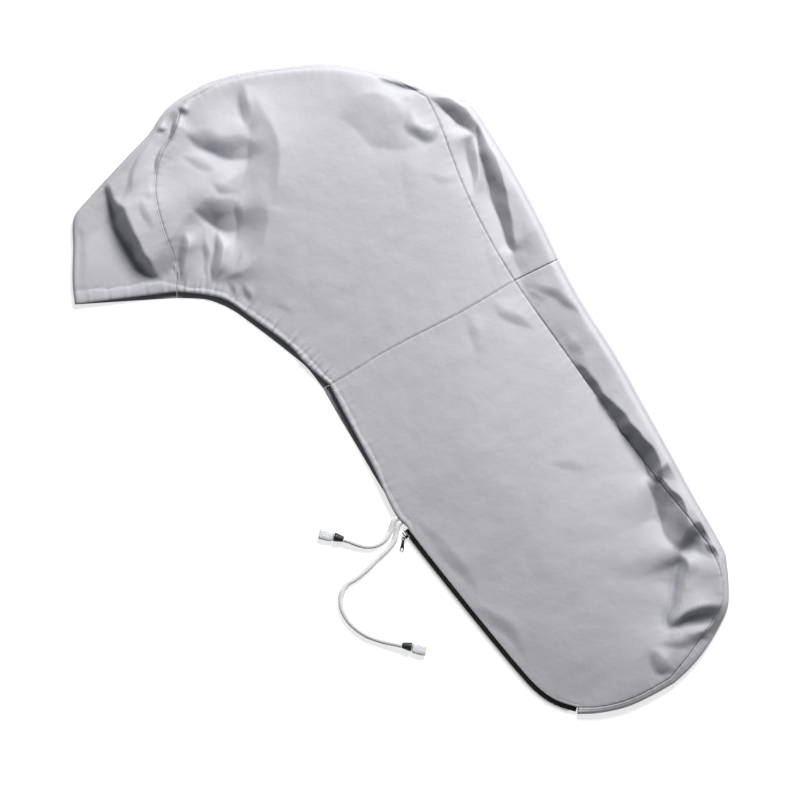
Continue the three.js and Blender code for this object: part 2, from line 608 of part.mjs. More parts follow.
function addZip() {
  const stations = zipStations();
  piece('zip_tape_upper', band(UPPER_TAPE, stations), MATERIALS.zip);
  piece('zip_tape_lower', band(LOWER_TAPE, stations), MATERIALS.zip);
  piece('zip_chain', band(TEETH, stations), MATERIALS.zip);

  const { spot, outward } = stations[0];
  const out = new THREE.Vector3(outward.x, outward.y, 0);
  const up = new THREE.Vector3(0, 0, 1);
  const along = up.clone().cross(out);
  const slider = piece('zip_slider', sliderBody(), MATERIALS.zip);
  slider.quaternion.setFromRotationMatrix(new THREE.Matrix4().makeBasis(along, up, out));
  slider.position.set(spot.x, spot.y, ZIP.middle - 0.4);
  slider.position.addScaledVector(along, -SLIDER.length / 2 - SEAM_GAP).addScaledVector(out, ZIP.teethAt);

  const bar = SLIDER.depth + SLIDER.bailReach - SLIDER.bailBar / 2;
  const pull = piece('zip_pull', pullTab(), MATERIALS.zip);
  pull.position.copy(slider.position).addScaledVector(out, bar);
  pull.position.addScaledVector(along, SLIDER.length * 0.3 - SLIDER.bailWidth / 2);
  pull.position.z = PULL.eyeHeight;
  pull.rotation.set(0, THREE.MathUtils.degToRad(PULL.droop), THREE.MathUtils.degToRad(PULL.turn), 'ZYX');
}

function addCord(name) {
  const route = CORDS[name];
  piece(`drawcord_${name}`, cordTube(route), MATERIALS.cord);
  const tip = new THREE.Vector3(...route.at(-1));
  const heading = tip.clone().sub(new THREE.Vector3(...route.at(-2))).setZ(0).normalize();
  const turn = Math.atan2(heading.y, heading.x);
  const line = new THREE.Group();
  line.position.copy(tip).addScaledVector(heading, 0.5);
  line.rotation.z = turn;
  cover.add(line);
  const stopper = piece(`stopper_${name}`, stopperBell(), MATERIALS.stopper, line);
  stopper.rotation.z = -Math.PI / 2;
  const end = piece(`end_${name}`, cordEnd(), MATERIALS.end, line);
  end.position.set(STOPPER.length + 0.4, 0, 0.3 - tip.z);
}

addHead();
addLeg();
addZip();
Object.keys(CORDS).forEach(addCord);

export default cover;
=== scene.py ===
"""Looks of an outboard motor cover that lies on its side: coated cloth, zip, drawcords and their fittings.

Lengths in the tables are millimetres in the part's frame. Meshes are in metres.
"""
import logging
import math
from dataclasses import dataclass, field
from enum import Enum
from functools import partial
from typing import Any, Sequence

import bmesh
import bpy
import numpy as np
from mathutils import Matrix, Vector


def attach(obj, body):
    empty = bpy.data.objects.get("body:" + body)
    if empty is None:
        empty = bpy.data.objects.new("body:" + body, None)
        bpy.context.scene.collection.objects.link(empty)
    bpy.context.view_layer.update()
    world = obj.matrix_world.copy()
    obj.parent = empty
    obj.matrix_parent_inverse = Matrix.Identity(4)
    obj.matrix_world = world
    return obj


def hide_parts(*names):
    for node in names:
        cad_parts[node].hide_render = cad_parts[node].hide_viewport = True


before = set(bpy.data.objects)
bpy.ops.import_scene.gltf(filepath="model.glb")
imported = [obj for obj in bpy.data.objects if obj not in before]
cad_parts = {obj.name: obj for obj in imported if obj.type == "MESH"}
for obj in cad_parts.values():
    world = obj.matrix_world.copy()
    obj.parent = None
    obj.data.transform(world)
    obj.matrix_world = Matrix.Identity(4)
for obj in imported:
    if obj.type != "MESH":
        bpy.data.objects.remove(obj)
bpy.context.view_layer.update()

LOG = logging.getLogger("motor_cover")
MM = 0.001
CELL = 3.2
# How lines and cloth are sampled, in millimetres. Points crowd together at the seam steps, up to a seam zone
# from each border. The crease and ridge mask is full where the cloth lies that far below or above its
# smoothed
# surroundings: in the creases it paints shade on the cloth, and on the ridges it marks rubbed wear.
FINE_STEP = 1.5
SPLINE_POINTS = 25
SEAM_STEPS = (0.0, 0.9, 2.0, 3.4)
SEAM_ZONE = 5.4
SHADE_AND_WEAR_ROUNDS = 10
SHADE_AND_WEAR_FULL = 1.6
# In metres.
WELD_DISTANCE = 2e-6
Rows = tuple[tuple[float, ...], ...]
Triple = tuple[float, float, float]
Colour = Triple
BLACK: Colour = (0.003, 0.003, 0.0035)
RUBBED_BLACK: Colour = (0.02, 0.02, 0.022)


class Slot(Enum):
    """Names of five material slots; no piece in this script is given one."""

    CLOTH = "cloth"
    ZIP = "zip"
    CORD = "cord"
    STOPPER = "stopper"
    CORD_END = "cord_end"


# The cover's outer edge, seam by seam, clockwise from the nose to the zip: the fold at the edge of the
# cover, the gusset's seam with the upper panel, and its seam with the lower panel.
STRETCHES: dict[str, dict[str, Rows]] = {
    "nose": {
        "edge": ((-586, 152), (-590, 190), (-589, 250), (-587, 310), (-563, 341), (-536, 371), (-487, 423),
                 (-451, 461), (-428, 496), (-404, 518), (-352, 549)),
        "seam": ((-402, 175), (-404, 229), (-424, 290), (-438, 358), (-429, 416), (-400, 473), (-390, 509),
                 (-356, 529), (-321, 550)),
        "under": ((-402, 164), (-404, 229), (-418, 290), (-415, 345), (-380, 395), (-340, 425), (-290, 445)),
    },
    "crown": {
        "edge": ((-352, 549), (-289, 568), (-183, 582), (-127, 585), (-64, 577), (33, 551), (96, 533),
                 (125, 515)),
        "seam": ((-321, 550), (-253, 565), (-183, 574), (-127, 575), (-64, 566), (-10, 551), (46, 522)),
        "under": ((-290, 445), (-230, 458), (-140, 460), (-60, 445), (-5, 420)),
    },
    "back": {
        "edge": ((125, 515), (143, 491), (177, 439), (215, 374), (246, 316), (262, 284), (285, 234)),
        "seam": ((46, 522), (66, 484), (91, 418), (120, 346), (166, 257), (204, 194)),
        "under": ((-5, 420), (50, 385), (100, 330), (160, 257), (204, 194)),
    },
    "leg": {
        "edge": ((285, 234), (321, 167), (389, 60), (431, -16), (470, -86), (532, -200), (568, -263),
                 (585, -295)),
        "seam": ((204, 194), (253, 124), (310, 45), (397, -76), (462, -164), (512, -227), (550, -277)),
        "under": ((204, 194), (253, 124), (310, 45), (397, -76), (450, -164), (478, -240), (490, -300)),
    },
    "foot": {
        "edge": ((585, -295), (590, -344), (589, -391), (573, -428), (546, -472), (519, -504), (492, -529)),
        "seam": ((550, -277), (572, -326), (576, -380), (555, -423), (519, -476), (484, -519)),
        "under": ((490, -300), (495, -350), (490, -400), (470, -440), (440, -470), (420, -485)),
    },
    "toe": {
        "edge": ((492, -529), (449, -553), (406, -572), (354, -583), (318, -584.5)),
        "seam": ((484, -519), (444, -542), (404, -560), (355, -571), (320, -572)),
        "under": ((420, -485), (390, -500), (350, -512), (322, -520)),
    },
}
UPPER_HEM: dict[str, Rows] = {
    "head": ((-402, 175), (-348, 169), (-314, 160), (-269, 129), (-199, 77), (-168, 43), (-127, 7)),
    "leg": ((-127, 7), (-105, -36), (-75, -92), (-44, -151), (-21, -203), (-6, -230), (13, -249)),
    "zip": ((13, -249), (55, -303), (138, -407), (214, -499), (246, -534), (270, -553), (293, -564),
            (320, -572)),
}
LOWER_HEM: dict[str, Rows] = {
    "head": ((-402, 164), (-350, 161), (-325, 153), (-299, 140), (-271, 120), (-206, 70), (-168, 38),
             (-139, 1)),
    "leg": ((-139, 1), (-109, -58), (-79, -114), (-48, -173), (-32, -202), (-14, -232), (9, -252)),
    "zip": ((9, -252), (50, -307), (133, -411), (210, -503), (242, -538), (267, -557), (290, -567),
            (313, -574)),
}
CROSS_SEAM: dict[str, Rows] = {
    "upper": ((-127, 7), (-1, 81), (111, 139), (204, 194)),
    "lower": ((-139, 1), (-1, 81), (111, 139), (204, 194)),
}
CORD_ROUTES: dict[str, Rows] = {
    "short": ((-6.6, -230.6, 8.4), (-10.8, -235.4, 8.2), (-14.5, -243, 7.2), (-18, -254, 5.5),
              (-24, -266, 5.3), (-33, -275.5, 5.3), (-46, -281.5, 5.3), (-60, -283, 5.3), (-76, -279.5, 6.5),
              (-90, -274, 8.3), (-97, -272, 8.5), (-102, -270.6, 8.5)),
    "long": ((1, -238.2, 8.4), (-3, -243, 8.2), (-6, -250.5, 7.2), (-8, -261, 5.5), (-12, -274, 5.3),
             (-22, -287.5, 5.3), (-35, -299.5, 5.3), (-48, -312, 5.3), (-64, -328, 5.3), (-82, -342, 5.3),
             (-96, -351, 5.3), (-105, -366, 5.3), (-107, -382, 5.3), (-104, -398, 5.3), (-94, -416, 5.3),
             (-78, -432, 5.3), (-57, -445, 5.3), (-34, -453, 5.6), (-16, -457, 7.5), (-4, -459.4, 8.5),
             (2, -460.6, 8.5)),
}


def smooth_line(rows: Rows, step: float) -> np.ndarray:
    """Centripetal spline through drawn rows, as points one step apart.

    Args:
        rows: two or more points of two or three numbers.
        step: wanted distance from point to point, in the rows' unit.

    Returns:
        The points, equally spaced along the line.
    """
    spots = np.array(rows, dtype=float)
    if len(spots) == 2:
        dense = spots
    else:
        spots = np.vstack([2 * spots[0] - spots[1], spots, 2 * spots[-1] - spots[-2]])
        pieces = []
        share = np.linspace(0, 1, SPLINE_POINTS)[:, None]
        for before, start, end, after in zip(spots, spots[1:], spots[2:], spots[3:]):
            gaps = [max(np.linalg.norm(b - a) ** 0.5, 1e-6) for a, b in
                    ((before, start), (start, end), (end, after))]
            first = (start - before) / gaps[0] - (end - before) / (gaps[0] + gaps[1])
            first = (first + (end - start) / gaps[1]) * gaps[1]
            last = (end - start) / gaps[1] - (after - start) / (gaps[1] + gaps[2])
            last = (last + (after - end) / gaps[2]) * gaps[1]
            square = share * share
            cube = square * share
            pieces.append(start + first * share + (3 * (end - start) - 2 * first - last) * square
                          + (2 * (start - end) + first + last) * cube)
        dense = chained(pieces)
    reached = runs_along(dense)
    steps = max(1, round(reached[-1] / step))
    wanted = np.linspace(0, reached[-1], steps + 1)
    return np.column_stack([np.interp(wanted, reached, column) for column in dense.T])


def chained(lines: Sequence[np.ndarray]) -> np.ndarray:
    """One line made of several that meet end to start."""
    return np.vstack([lines[0]] + [line[1:] for line in lines[1:]])


def runs_along(line: np.ndarray) -> np.ndarray:
    """Distance of each point of a line from its start, along the line."""
    return np.concatenate([[0], np.cumsum(np.linalg.norm(np.diff(line, axis=0), axis=1))])


def line_length(line: np.ndarray) -> float:
    """Length of a line of points."""
    return float(np.linalg.norm(np.diff(line, axis=0), axis=1).sum())


def headed(offsets: np.ndarray) -> tuple[np.ndarray, np.ndarray]:
    """Headings and lengths of a list of offsets."""
    lengths = np.linalg.norm(offsets, axis=1)
    return offsets / lengths[:, None], lengths


def offset_line(line: np.ndarray, distance: float | np.ndarray) -> np.ndarray:
    """A line of the plane, moved to its left by a distance."""
    heading, _ = headed(np.gradient(line, axis=0))
    left = np.column_stack([-heading[:, 1], heading[:, 0]])
    return line + left * np.broadcast_to(np.asarray(distance, dtype=float), (len(line),))[:, None]


def nearest_on(line: np.ndarray, spots: np.ndarray) -> tuple[np.ndarray, np.ndarray, np.ndarray]:
    """How far each spot lies from a line, how far along the line, and on which side of it.

    Args:
        line: the line's points in the plane.
        spots: any number of points in the plane.

    Returns:
        Distances, shares of the line's length from 0 to 1, and 1 on the left of the line or -1 on its right.
    """
    distance = np.full(len(spots), np.inf)
    along = np.zeros(len(spots))
    side = np.ones(len(spots))
    lengths = np.linalg.norm(np.diff(line, axis=0), axis=1)
    reached = runs_along(line)
    for index, length in enumerate(lengths):
        heading = (line[index + 1] - line[index]) / max(length, 1e-9)
        offset = spots - line[index]
        share = np.clip(offset @ heading, 0, length)
        away = offset - share[:, None] * heading
        here = np.hypot(away[:, 0], away[:, 1])
        closer = here < distance
        distance[closer] = here[closer]
        along[closer] = (reached[index] + share[closer]) / reached[-1]
        turn = heading[0] * offset[:, 1] - heading[1] * offset[:, 0]
        side[closer] = np.where(turn[closer] >= 0, 1.0, -1.0)
    return distance, along, side


@dataclass(frozen=True)
class Slope:
    """How the cloth rises round one place.

    It rises from the mouth at a first slope towards a plateau, and over the outer edge it stands up in a
    steep shoulder and a softer swell.
    """

    region: str
    x: float
    y: float
    reach: float
    from_mouth: float
    plateau: float
    shoulder: float
    swell: float


@dataclass(frozen=True)
class Fold:
    """One side of a fold, where the cloth climbs from a foot line to a crest line that meet at both ends.

    Before the foot the cloth dips towards it, and beyond the crest it sinks back again, each over a reach of
    its own. A round of 0 gives an even slope, and 1 the steepest slope at the foot and a soft crest. Where
    the lines meet, the climb starts softly, and its last trace far away is cut off.
    """

    name: str
    steep: float
    foot: Rows
    crest: Rows
    before: float = 30.0
    beyond: float = 45.0
    round: float = 0.5
    dip: float = 0.35
    soft: float = 4.0
    tail: float = 0.02

    def lift(self, spots: np.ndarray) -> np.ndarray:
        """Height that the fold adds at each spot.

        Args:
            spots: points in the plane, in millimetres.

        Returns:
            One height for each spot, in millimetres.
        """
        foot, crest = smooth_line(self.foot, 6), smooth_line(self.crest, 6)
        rim = np.vstack([foot, crest[::-1]])
        margin = 4 * max(self.before, self.beyond)
        near = np.all((spots > rim.min(axis=0) - margin) & (spots < rim.max(axis=0) + margin), axis=1)
        added = np.zeros(len(spots))
        if near.any():
            to_foot, to_crest = nearest_on(foot, spots[near])[0], nearest_on(crest, spots[near])[0]
            inside = within(rim, spots[near])
            width = np.where(inside, to_foot + to_crest, np.abs(to_foot - to_crest))
            share = np.where(inside, to_foot / np.maximum(width, 1e-6), to_crest < to_foot)
            width = np.hypot(width, self.soft) - self.soft
            climb = (1 - self.round) * share + self.round * np.sin(np.pi / 2 * share) - self.dip
            reach = np.where(to_crest < to_foot, self.beyond, self.before)
            away = np.where(inside, 0, np.minimum(to_foot, to_crest))
            left = np.maximum(0, np.exp(-away / reach) - self.tail) / (1 - self.tail)
            added[near] = self.steep * width * climb * left
        return added


def within(rim: np.ndarray, spots: np.ndarray) -> np.ndarray:
    """Which spots lie inside a closed line.

    Args:
        rim: the closed line's points.
        spots: any number of points in the plane.

    Returns:
        True for each spot inside.
    """
    inside = np.zeros(len(spots), dtype=bool)
    for start, end in zip(rim, np.roll(rim, -1, axis=0)):
        rise = end[1] - start[1]
        level = (start[1] > spots[:, 1]) != (end[1] > spots[:, 1])
        if level.any():
            cross = start[0] + (spots[:, 1] - start[1]) / (rise if rise else 1.0) * (end[0] - start[0])
            inside ^= level & (spots[:, 0] < cross)
    return inside


def smooth_step(share: np.ndarray) -> np.ndarray:
    """Rises softly from 0 to 1 as the share does."""
    share = np.clip(share, 0, 1)
    return share * share * (3 - 2 * share)


def groove(away: np.ndarray, middle: float | np.ndarray, depth: float, reach: float) -> np.ndarray:
    """Depth of a soft groove at distances from a line, deepest at the middle distance."""
    return depth * np.exp(-(((away - middle) / reach) ** 2))


def soft_least(first: np.ndarray, second: np.ndarray, blend: float) -> np.ndarray:
    """The lesser of two heights, rounded where they meet."""
    share = np.clip(0.5 + 0.5 * (second - first) / blend, 0, 1)
    return second + (first - second) * share - blend * share * (1 - share)


SLOPES = (
    Slope("nose", -520, 260, 70, 0.34, 30, 12, 6),
    Slope("cheek", -350, 350, 80, 0.25, 62, 36, 8),
    Slope("head", -130, 330, 160, 0.145, 105, 54, 2),
    Slope("back of the head", 120, 280, 130, 0.155, 100, 38, 2),
    Slope("top of the leg", 100, 0, 130, 0.20, 90, 32, 2),
    Slope("middle of the leg", 260, -220, 130, 0.20, 85, 30, 2),
    Slope("foot", 450, -410, 90, 0.22, 55, 6, 26),
    Slope("toe", 320, -530, 60, 0.26, 40, 5, 22),
)

FOLDS = (
    # nose
    Fold("deep fold round the nose", 2.0, ((-533, 375), (-526, 346), (-519, 312), (-507, 279), (-487, 242),
         (-463, 212), (-433, 194)), ((-533, 375), (-519, 359), (-513, 342), (-504, 330), (-496, 326),
         (-490, 312), (-476, 279), (-463, 252), (-449, 229), (-433, 194)), 120, 150, 0.4, 0.4),
    Fold("tongue beside the deep fold", 0.8, ((-504, 330), (-492, 362), (-483, 392), (-470, 420),
         (-446, 449)), ((-504, 330), (-483, 362), (-475, 389), (-461, 418), (-446, 449)), 16, 20),
    Fold("valley along the nose seam", 1.4, ((-390, 492), (-406, 482), (-418, 452), (-433, 425),
         (-441, 399), (-438, 373)), ((-390, 492), (-399, 466), (-413, 436), (-427, 414), (-435, 394),
         (-438, 373)), 24, 30, 0.5, 0.5),
    Fold("tuck at the head of the nose seam", 1.2, ((-400, 507), (-388, 491), (-375, 491)), ((-400, 507),
         (-386, 504), (-375, 491)), 14, 14),
    Fold("notch over the nose", 1.4, ((-443, 465), (-429, 461), (-418, 465)), ((-443, 465), (-429, 470),
         (-418, 465)), 10, 14),
    Fold("turn of the left edge", 0.35, ((-585, 315), (-586, 250), (-588, 185)), ((-585, 315), (-573, 292),
         (-565, 239), (-573, 184)), 20, 40),
    Fold("tuck beside the tongue", 0.55, ((-470, 352), (-450, 342), (-436, 350)), ((-470, 352), (-450, 350),
         (-436, 350)), 20, 24),
    Fold("slack beside the tongue", 0.4, ((-470, 345), (-462, 310), (-440, 280)), ((-470, 345), (-450, 318),
         (-440, 280)), 24, 30),

    # cheek
    Fold("notch beside the crown's ridge", 0.75, ((-281, 547), (-289, 519), (-286, 492), (-276, 467)),
         ((-281, 547), (-272, 526), (-268, 499), (-271, 476), (-276, 467)), 34, 20, 0.2, 0.5),
    Fold("upper pocket of the cheek", 0.52, ((-388, 455), (-356, 430), (-327, 418), (-300, 411),
         (-268, 414)), ((-388, 455), (-350, 466), (-313, 455), (-277, 453), (-262, 445), (-268, 414)),
         40, 60, 0.8, 0.5),
    Fold("fold under the upper pocket", 0.32, ((-392, 420), (-360, 392), (-325, 392)), ((-392, 420),
         (-362, 416), (-325, 392)), 24, 30, 0.8, 0.5),
    Fold("lower pocket of the cheek", 0.56, ((-374, 318), (-350, 300), (-327, 286), (-288, 286)),
         ((-374, 318), (-350, 340), (-322, 345), (-300, 338), (-284, 322), (-288, 286)), 34, 50, 0.8, 0.5),
    Fold("small fold over the lower pocket", 0.4, ((-345, 372), (-320, 352), (-292, 350)), ((-345, 372),
         (-318, 368), (-292, 350)), 20, 24, 0.8, 0.5),
    Fold("roll over the gathers", -0.2, ((-410, 262), (-380, 255), (-350, 262)), ((-410, 262), (-390, 288),
         (-362, 290), (-350, 262)), 16, 24, 0.5, 0.5),
    Fold("broad shade of the cheek", 0.42, ((-265, 542), (-270, 463), (-275, 412), (-280, 372), (-300, 326),
         (-293, 287), (-310, 232), (-325, 194)), ((-265, 542), (-249, 506), (-226, 459), (-215, 412),
         (-220, 372), (-238, 333), (-238, 312), (-245, 259), (-269, 220), (-325, 194)), 60, 90, 0.0, 0.5),

    # gathers over the hem
    Fold("first gather", 0.8, ((-424, 220), (-418, 199), (-413, 189)), ((-424, 220), (-413, 202),
         (-413, 189)), 12, 12),
    Fold("second gather", 0.9, ((-413, 229), (-408, 209), (-397, 187)), ((-413, 229), (-400, 212),
         (-397, 187)), 12, 12),
    Fold("third gather", 1.1, ((-386, 283), (-395, 250), (-399, 218), (-393, 187)), ((-386, 283),
         (-377, 265), (-384, 229), (-393, 187)), 16, 16),
    Fold("fourth gather", 1.1, ((-355, 283), (-357, 250), (-354, 218), (-346, 189)), ((-355, 283),
         (-346, 254), (-345, 221), (-346, 189)), 16, 16),
    Fold("fifth gather", 1.25, ((-325, 284), (-337, 250), (-343, 218), (-339, 191)), ((-325, 284),
         (-316, 254), (-323, 218), (-339, 191)), 16, 30),
    Fold("sixth gather", 0.5, ((-280, 259), (-300, 220), (-321, 189)), ((-280, 259), (-288, 220),
         (-321, 189)), 16, 20),
    Fold("seventh gather", 0.9, ((-313, 193), (-305, 173), (-292, 160)), ((-313, 193), (-296, 178),
         (-292, 160)), 10, 12),
    Fold("eighth gather", 0.8, ((-283, 191), (-280, 167), (-267, 153)), ((-283, 191), (-269, 173),
         (-267, 153)), 10, 12),
    Fold("crease over the hem", 0.3, ((-240, 158), (-208, 140), (-186, 131)), ((-240, 158), (-208, 151),
         (-186, 131)), 16, 20),

    # head
    Fold("soft hollow under the crown", 0.16, ((-109, 484), (-82, 466), (-51, 437), (-15, 430), (31, 430)),
         ((-109, 484), (-76, 526), (-28, 524), (3, 493), (31, 430)), 40, 30),
    Fold("small fold by the crown", 0.4, ((-1, 518), (12, 515), (21, 520)), ((-1, 518), (10, 526),
         (21, 520)), 10, 10),
    Fold("curled fold by the back seam", 0.7, ((13, 502), (12, 466), (31, 449), (53, 443), (71, 453)),
         ((13, 502), (28, 475), (40, 466), (56, 461), (71, 453)), 18, 16),
    Fold("crease beside the back seam", 0.25, ((49, 385), (66, 369), (89, 369), (112, 385)), ((49, 385),
         (71, 380), (93, 382), (112, 385)), 16, 16),
    Fold("soft dent over the middle", 0.1, ((-1, 407), (4, 367), (10, 340), (13, 322)), ((-1, 407),
         (28, 394), (31, 358), (13, 322)), 30, 30),
    Fold("soft dent over the cross seam", 0.16, ((148, 286), (154, 241), (165, 202), (170, 196)),
         ((148, 286), (165, 259), (174, 223), (170, 196)), 20, 20),

    # crown and back gusset
    Fold("groove under the crown's edge", 1.8, ((-55, 569), (-25, 551), (2, 541), (21, 535), (40, 533)),
         ((-55, 569), (-31, 562), (-1, 556), (22, 544), (40, 533)), 20, 20, 0.3, 0.5),
    Fold("pocket beyond the rolled edge", 1.05, ((48, 520), (71, 506), (102, 479), (132, 453)), ((48, 520),
         (89, 520), (111, 508), (134, 497), (136, 475), (132, 453)), 22, 24, 0.4, 0.5),
    Fold("narrow valley down the back", 1.2, ((131, 453), (118, 430), (121, 400), (128, 371), (134, 346)),
         ((131, 453), (136, 430), (139, 400), (139, 371), (134, 346)), 24, 14, 0.1, 0.5),
    Fold("wide valley down the back", 1.25, ((134, 497), (137, 454), (143, 412), (155, 371), (166, 328),
         (182, 286), (197, 250), (206, 243)), ((134, 497), (154, 454), (172, 412), (186, 371), (193, 328),
         (202, 286), (208, 256), (206, 243)), 20, 40, 0.4, 0.5),
    Fold("soft hollow down the back gusset", 0.15, ((215, 313), (220, 277), (228, 241), (233, 232)),
         ((215, 313), (233, 286), (237, 254), (233, 232)), 20, 20),

    Fold("rise of the gusset to the edge", 0.24, ((176, 400), (186, 330), (204, 225), (253, 124), (310, 45),
         (397, -76), (462, -164), (512, -227), (575, -290)), ((176, 400), (216, 352), (262, 262), (312, 160),
         (380, 52), (456, -76), (522, -200), (560, -268), (575, -290)), 60, 8, 0.0, 0.5),

    # leg
    Fold("drag fold on the gusset", 0.36, ((211, 189), (251, 176), (287, 153), (337, 121)), ((211, 189),
         (260, 187), (298, 166), (337, 121)), 16, 20),
    Fold("second drag fold on the gusset", 0.4, ((219, 178), (242, 166), (265, 155)), ((219, 178),
         (246, 173), (265, 155)), 12, 14),
    Fold("shade over the long valley", 0.3, ((292, 106), (298, 79), (314, 49), (332, 25)), ((292, 106),
         (319, 79), (332, 52), (332, 25)), 30, 30),
    Fold("drag fold under the cross seam", 0.3, ((165, 164), (177, 133), (206, 115), (247, 106)),
         ((165, 164), (188, 146), (219, 130), (247, 106)), 20, 20),
    Fold("second drag fold under the cross seam", 0.35, ((118, 140), (124, 100), (140, 62)), ((118, 140),
         (140, 104), (140, 62)), 22, 26),
    Fold("soft dent in the leg", 0.24, ((250, -130), (300, -142), (352, -150)), ((250, -130), (302, -126),
         (352, -150)), 30, 30),
    Fold("soft fold beside the zip", 0.3, ((19, -226), (60, -285), (104, -335), (140, -353)), ((19, -226),
         (72, -268), (118, -318), (140, -353)), 40, 45),
    Fold("soft fold towards the toe", 0.3, ((113, -385), (150, -420), (195, -450), (235, -517)),
         ((113, -385), (160, -398), (208, -430), (235, -517)), 30, 40),
    Fold("long valley beside the leg seam", 1.6, ((309, 56), (321, 32), (339, 7), (363, -29), (387, -62),
         (411, -95), (436, -128), (448, -160), (465, -166)), ((309, 56), (329, 36), (347, 16), (366, -8),
         (388, -32), (411, -58), (440, -91), (460, -120), (467, -152), (465, -166)), 50, 80, 0.1, 0.35),
    Fold("dark pocket above the foot", 1.05, ((441, -163), (453, -192), (465, -226), (475, -259),
         (495, -289)), ((441, -163), (465, -158), (486, -180), (506, -204), (515, -226), (512, -250),
         (502, -271), (495, -289)), 45, 70, 0.1, 0.42),
    Fold("facet above the foot", 0.45, ((499, -290), (534, -292), (567, -304), (583, -295)), ((499, -290),
         (517, -250), (534, -236), (553, -250), (583, -295)), 50, 40, 0.2, 0.3),
    Fold("crease of the facet", 0.6, ((539, -245), (544, -272), (555, -293), (575, -300)), ((539, -245),
         (552, -262), (564, -281), (575, -300)), 14, 14),
    Fold("valley down the foot", 1.8, ((498, -295), (490, -340), (485, -382), (477, -410), (481, -427),
         (498, -428)), ((498, -295), (514, -308), (510, -340), (503, -382), (498, -414), (498, -428)),
         80, 140, 0.1, 0.4),
    Fold("facet of the foot", 0.56, ((522, -268), (510, -310), (507, -350), (500, -395), (505, -442)),
         ((522, -268), (570, -288), (585, -335), (580, -390), (545, -432), (505, -442)), 60, 30, 0.0, 0.4),
    Fold("fold across the foot", 0.9, ((481, -428), (526, -422), (555, -410), (579, -383)), ((481, -428),
         (501, -414), (534, -396), (579, -383)), 30, 60, 0.1, 0.6),
    Fold("second fold across the foot", 0.65, ((449, -461), (508, -461), (543, -446), (566, -425)),
         ((449, -461), (503, -448), (539, -434), (566, -425)), 24, 24),
    Fold("hook at the end of the fold", 0.5, ((448, -463), (453, -496), (465, -514), (493, -508)),
         ((448, -463), (472, -479), (485, -496), (493, -508)), 18, 18),
    Fold("pleat in the foot seam", 0.9, ((538, -447), (550, -452), (560, -450)), ((538, -447), (548, -444),
         (560, -450)), 10, 10),
    Fold("pucker at the toe", 0.7, ((238, -532), (247, -545), (262, -552)), ((238, -532), (255, -537),
         (262, -552)), 10, 10),
)


@dataclass(frozen=True)
class Ripple:
    """A wave along a seam or hem, where thread or cord draws the cloth in."""

    wavelength: float
    height: float
    phase: float

    def at(self, run: np.ndarray) -> np.ndarray:
        """Height of the wave at distances along the line."""
        drift = 0.9 * np.sin(run / (4.3 * self.wavelength) + 2 * self.phase)
        return self.height * np.sin(2 * np.pi * run / self.wavelength + self.phase + drift)


HEM_RIPPLES = (Ripple(9.5, 0.30, 0.4), Ripple(13.7, 0.42, 1.9), Ripple(21.0, 0.48, 4.1))
SEAM_RIPPLES = (Ripple(11.5, 0.20, 1.1), Ripple(17.3, 0.26, 3.0))


